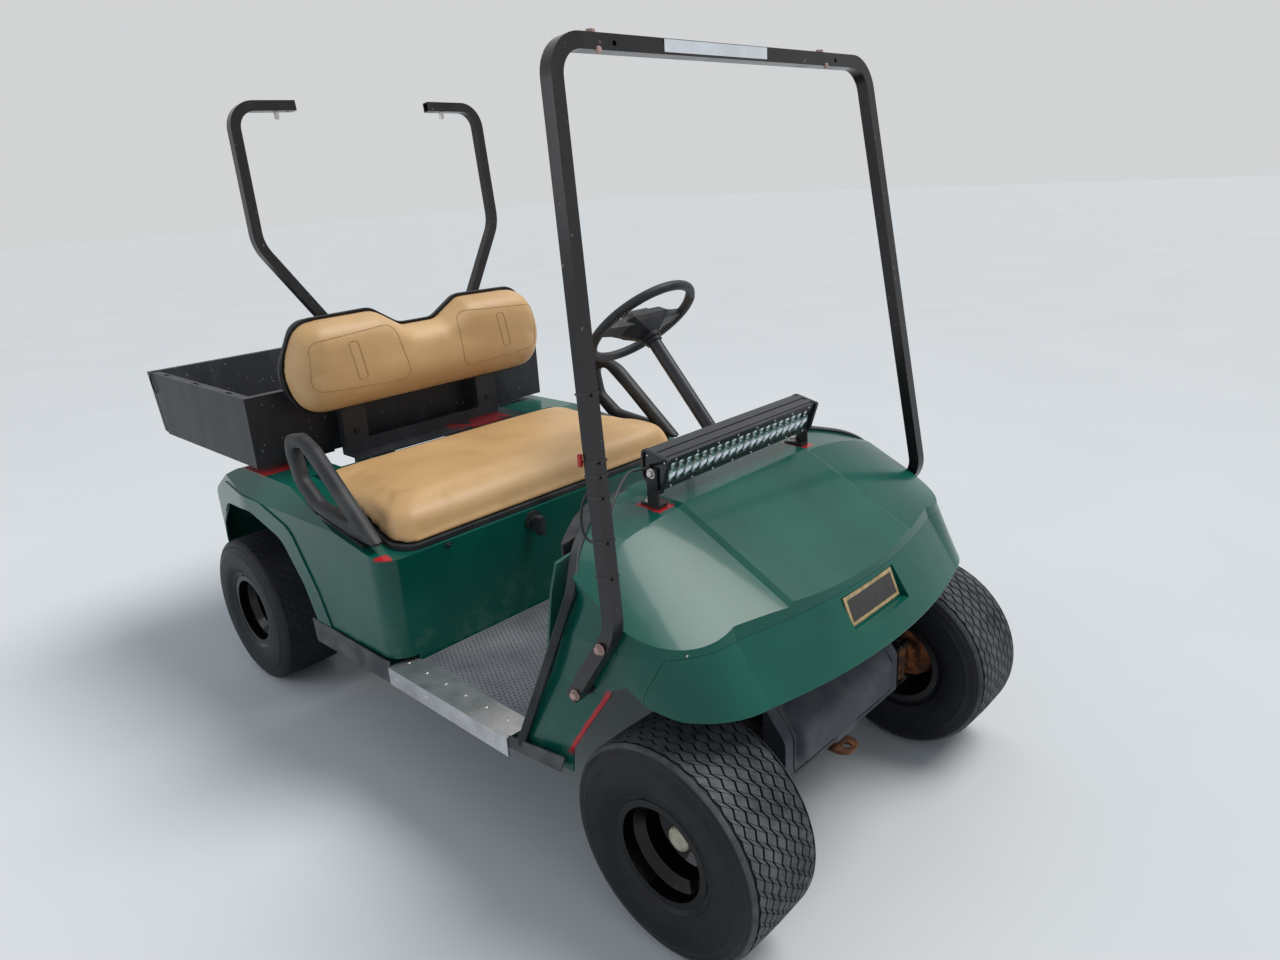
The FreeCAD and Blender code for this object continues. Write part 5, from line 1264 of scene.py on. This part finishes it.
def shield():
    """The front shield as one soft moulding: a plate that bends back, with a raised panel and a tab below
    it."""
    columns = [-SHIELD_HALF + COLUMN_PITCH * i for i in range(2 * SHIELD_HALF // COLUMN_PITCH + 1)]
    points = []
    for j in range(SHIELD_ROWS + 1):
        along = SHIELD_LENGTH * j / SHIELD_ROWS
        turn = min(1, max(0, (along - SHIELD_BEND + 10) / 20))
        ahead = Vector((1, 0)).lerp(Vector((SHIELD_UP, -SHIELD_BACK)), turn).normalized()
        back = max(0, along - SHIELD_BEND)
        x = SHIELD_X + SHIELD_BACK * back - 2.2 * (1 - abs(2 * turn - 1))
        z = SHIELD_LOW + min(along, SHIELD_BEND) + SHIELD_UP * back
        depth = PANEL_DEPTH - 13.5 * back / 72
        outer = []
        for y in columns:
            panel = depth * rolled(inside_by(y, along, *PANEL), PANEL_ROLL)
            tab = TAB_DEPTH * rolled(inside_by(y, along, *TAB), TAB_ROLL)
            rise = max(panel, tab)
            outer.append((x + ahead.x * rise, y, z + ahead.y * rise))
        points += outer
        points += [(x - ahead.x * SHIELD_WALL, y, z - ahead.y * SHIELD_WALL) for y in reversed(columns)]
    size = 2 * len(columns)
    faces = between(rows_of(SHIELD_ROWS + 1, size))
    for base in (0, SHIELD_ROWS * size):
        for i in range(len(columns) - 1):
            faces.append((base + i, base + i + 1, base + size - 2 - i, base + size - 1 - i))
    shape = Shape().add(points, faces)
    for side in (-1, 1):
        shape.prism(Y, CHEEK, side * (SHIELD_HALF - 0.3), side * (SHIELD_HALF - SHIELD_WALL))
    shape.make("rounded_shield", SHIELD_PLASTIC, "black_plastic", stands_for=["front_shield"], smooth=45)


def shield_lines():
    """The line round the raised panel of the front shield."""
    x = SHIELD_LINE_X
    half = SHIELD_LINE_HALF
    side = [(x, half - 20, 242), (x, half - 6, 246), (x, half, 260), (x, half, 300), (x - 1, half, 328),
            (1086, half, 356), (1058, half, 392)]
    path = [(x, -y, z) for x, y, z in reversed(side)] + [(x, 0, 242)] + side
    Shape().tube(smooth_path(path, 6), 1.8).make("shield_lines", CABLE, "black_plastic", smooth=60)


shield()
shield_lines()


# Steering wheel and batteries

WHEEL_LEAN = math.radians(48.9)
WHEEL_MIDDLE = Vector((275, 285, 1050))
WHEEL_RIM = 159
GRIP_REACH = 12.7


def wheel_grips():
    """Finger ridges under the rim of the steering wheel, beside its two spokes."""
    down = Vector((math.cos(WHEEL_LEAN), 0, -math.sin(WHEEL_LEAN)))
    across = Vector(LEFT)
    beside = down.cross(across)
    shape = Shape()
    for start in (0, 180):
        for i in range(25):
            turn = math.radians(start - 36 + 3 * i)
            out = across * math.cos(turn) + beside * math.sin(turn)
            arc = []
            for k in range(7):
                lean = math.radians(-129 + 28 * k)
                reach = (down * math.cos(lean) + out * math.sin(lean)) * GRIP_REACH
                arc.append(WHEEL_MIDDLE + out * WHEEL_RIM + reach)
            shape.tube(arc, 2.0, 6)
    shape.make("wheel_grips", WORN_GRIP, "black_plastic", "steering_wheel", smooth=60)


BATTERY_TOP = 573.8
BATTERY_X = (-110, 70)
BATTERY_Y = (-200, 0, 200)


def battery_tops():
    """Caps and posts on the batteries, under the seat."""
    caps = Shape()
    posts = Shape()
    for x in BATTERY_X:
        for y in BATTERY_Y:
            for away in (-40, 0, 40):
                caps.lathe((x + away, y, BATTERY_TOP), UP, [(0, 0), (0, 14), (9, 13), (10, 11), (10, 0)], 16)
            for side in (-1, 1):
                place = (x + 62 * side, y + 70 * side, BATTERY_TOP)
                posts.lathe(place, UP, [(0, 0), (0, 9), (14, 8), (14, 0)], 16)
    caps.make("battery_caps", CAP_YELLOW, "battery")
    posts.make("battery_posts", BOLT_METAL, "battery")


wheel_grips()
battery_tops()


# Floor, light and camera

FLOOR_REACH = 40
FLOOR_DROP = 0.0005
SKY = (0.8, 0.9, 1.0, 1)
SKY_STRENGTH = 0.5
BACKDROP = (0.86, 0.87, 0.88, 1)
BACKDROP_STRENGTH = 0.75
SUN_STRENGTH = 2.2
SUN_SPREAD = 34
SUN_COLOUR = (1, 0.98, 0.95)
SUN_AIM = (-0.9, -1.5, -2.7)

# Columns: name, place, target, length, width, power, colour
AREA_LIGHTS = [
    ("overhead", (0.4, 1.2, 4.6), (0.2, -0.1, 0.6), 4.4, 1.6, 26, (0.85, 0.94, 1)),
    ("side", (-1.6, -4.2, 2.6), (0, 0, 0.6), 2.4, 2.0, 26, (0.9, 0.95, 1)),
]


def stage():
    floor_mesh = bpy.data.meshes.new("floor")
    corners = [(a * FLOOR_REACH, b * FLOOR_REACH, 0) for a, b in SQUARE]
    floor_mesh.from_pydata(corners, [], [(0, 1, 2, 3)])
    pale = Finish("floor_paint", (0.62, 0.63, 0.64), 0.8)
    pale.set("Base Color", pale.mix(pale.noise(1.2, 4), (0.6, 0.61, 0.62), (0.66, 0.67, 0.68)))
    floor_mesh.materials.append(pale.material)
    floor = linked("floor", floor_mesh)
    floor.location.z = -FLOOR_DROP


def light(name, kind, aim, power, colour):
    lamp = linked(name, bpy.data.lights.new(name, kind))
    lamp.data.energy = power
    lamp.data.color = colour
    lamp.rotation_euler = Vector(aim).to_track_quat("-Z", "Y").to_euler()
    return lamp


def backdrop():
    """A pale sky lights the cart. Camera, gloss and glass see the plain backdrop instead."""
    world = bpy.data.worlds.new("studio")
    bpy.context.scene.world = world
    world.use_nodes = True
    tree = world.node_tree
    sky = add_node(tree, "Background", {"Color": SKY, "Strength": SKY_STRENGTH})
    seen = add_node(tree, "Background", {"Color": BACKDROP, "Strength": BACKDROP_STRENGTH})
    seen_by = add_node(tree, "LightPath", {}, "Is Camera Ray")
    for ray in ("Is Glossy Ray", "Is Transmission Ray"):
        either = {0: seen_by, 1: add_node(tree, "LightPath", {}, ray)}
        seen_by = add_node(tree, "Math", either, operation="MAXIMUM")
    choose = add_node(tree, "MixShader", {0: seen_by, 1: sky, 2: seen})
    put(tree, tree.nodes["World Output"].inputs["Surface"], choose)


def lighting():
    """A soft sun from the left, and a large soft light on each side."""
    sun = light("sun", "SUN", SUN_AIM, SUN_STRENGTH, SUN_COLOUR)
    sun.data.angle = math.radians(SUN_SPREAD)
    for name, place, target, length, width, power, colour in AREA_LIGHTS:
        lamp = light(name, "AREA", Vector(target) - Vector(place), power, colour)
        lamp.location = place
        lamp.data.shape = "RECTANGLE"
        lamp.data.size = length
        lamp.data.size_y = width


CAMERA_PLACE = (2004, -1514, 1443)
CAMERA_HEADING = 134.56
CAMERA_DOWN = 18.9
CAMERA_ROLL = -3.44
LENS = 25.24
SENSOR = 36
FAR_END = 200


def camera():
    holder = linked("camera", bpy.data.cameras.new("camera"))
    holder.data.sensor_width = SENSOR
    holder.data.lens = LENS
    holder.data.clip_end = FAR_END
    place = Matrix.Translation(at(*CAMERA_PLACE))
    for degrees, axis in ((CAMERA_HEADING - 90, "Z"), (90 - CAMERA_DOWN, "X"), (CAMERA_ROLL, "Z")):
        place = place @ Matrix.Rotation(math.radians(degrees), 4, axis)
    holder.matrix_world = place
    bpy.context.scene.camera = holder


stage()
backdrop()
lighting()
camera()
bpy.context.scene.view_settings.view_transform = "Standard"
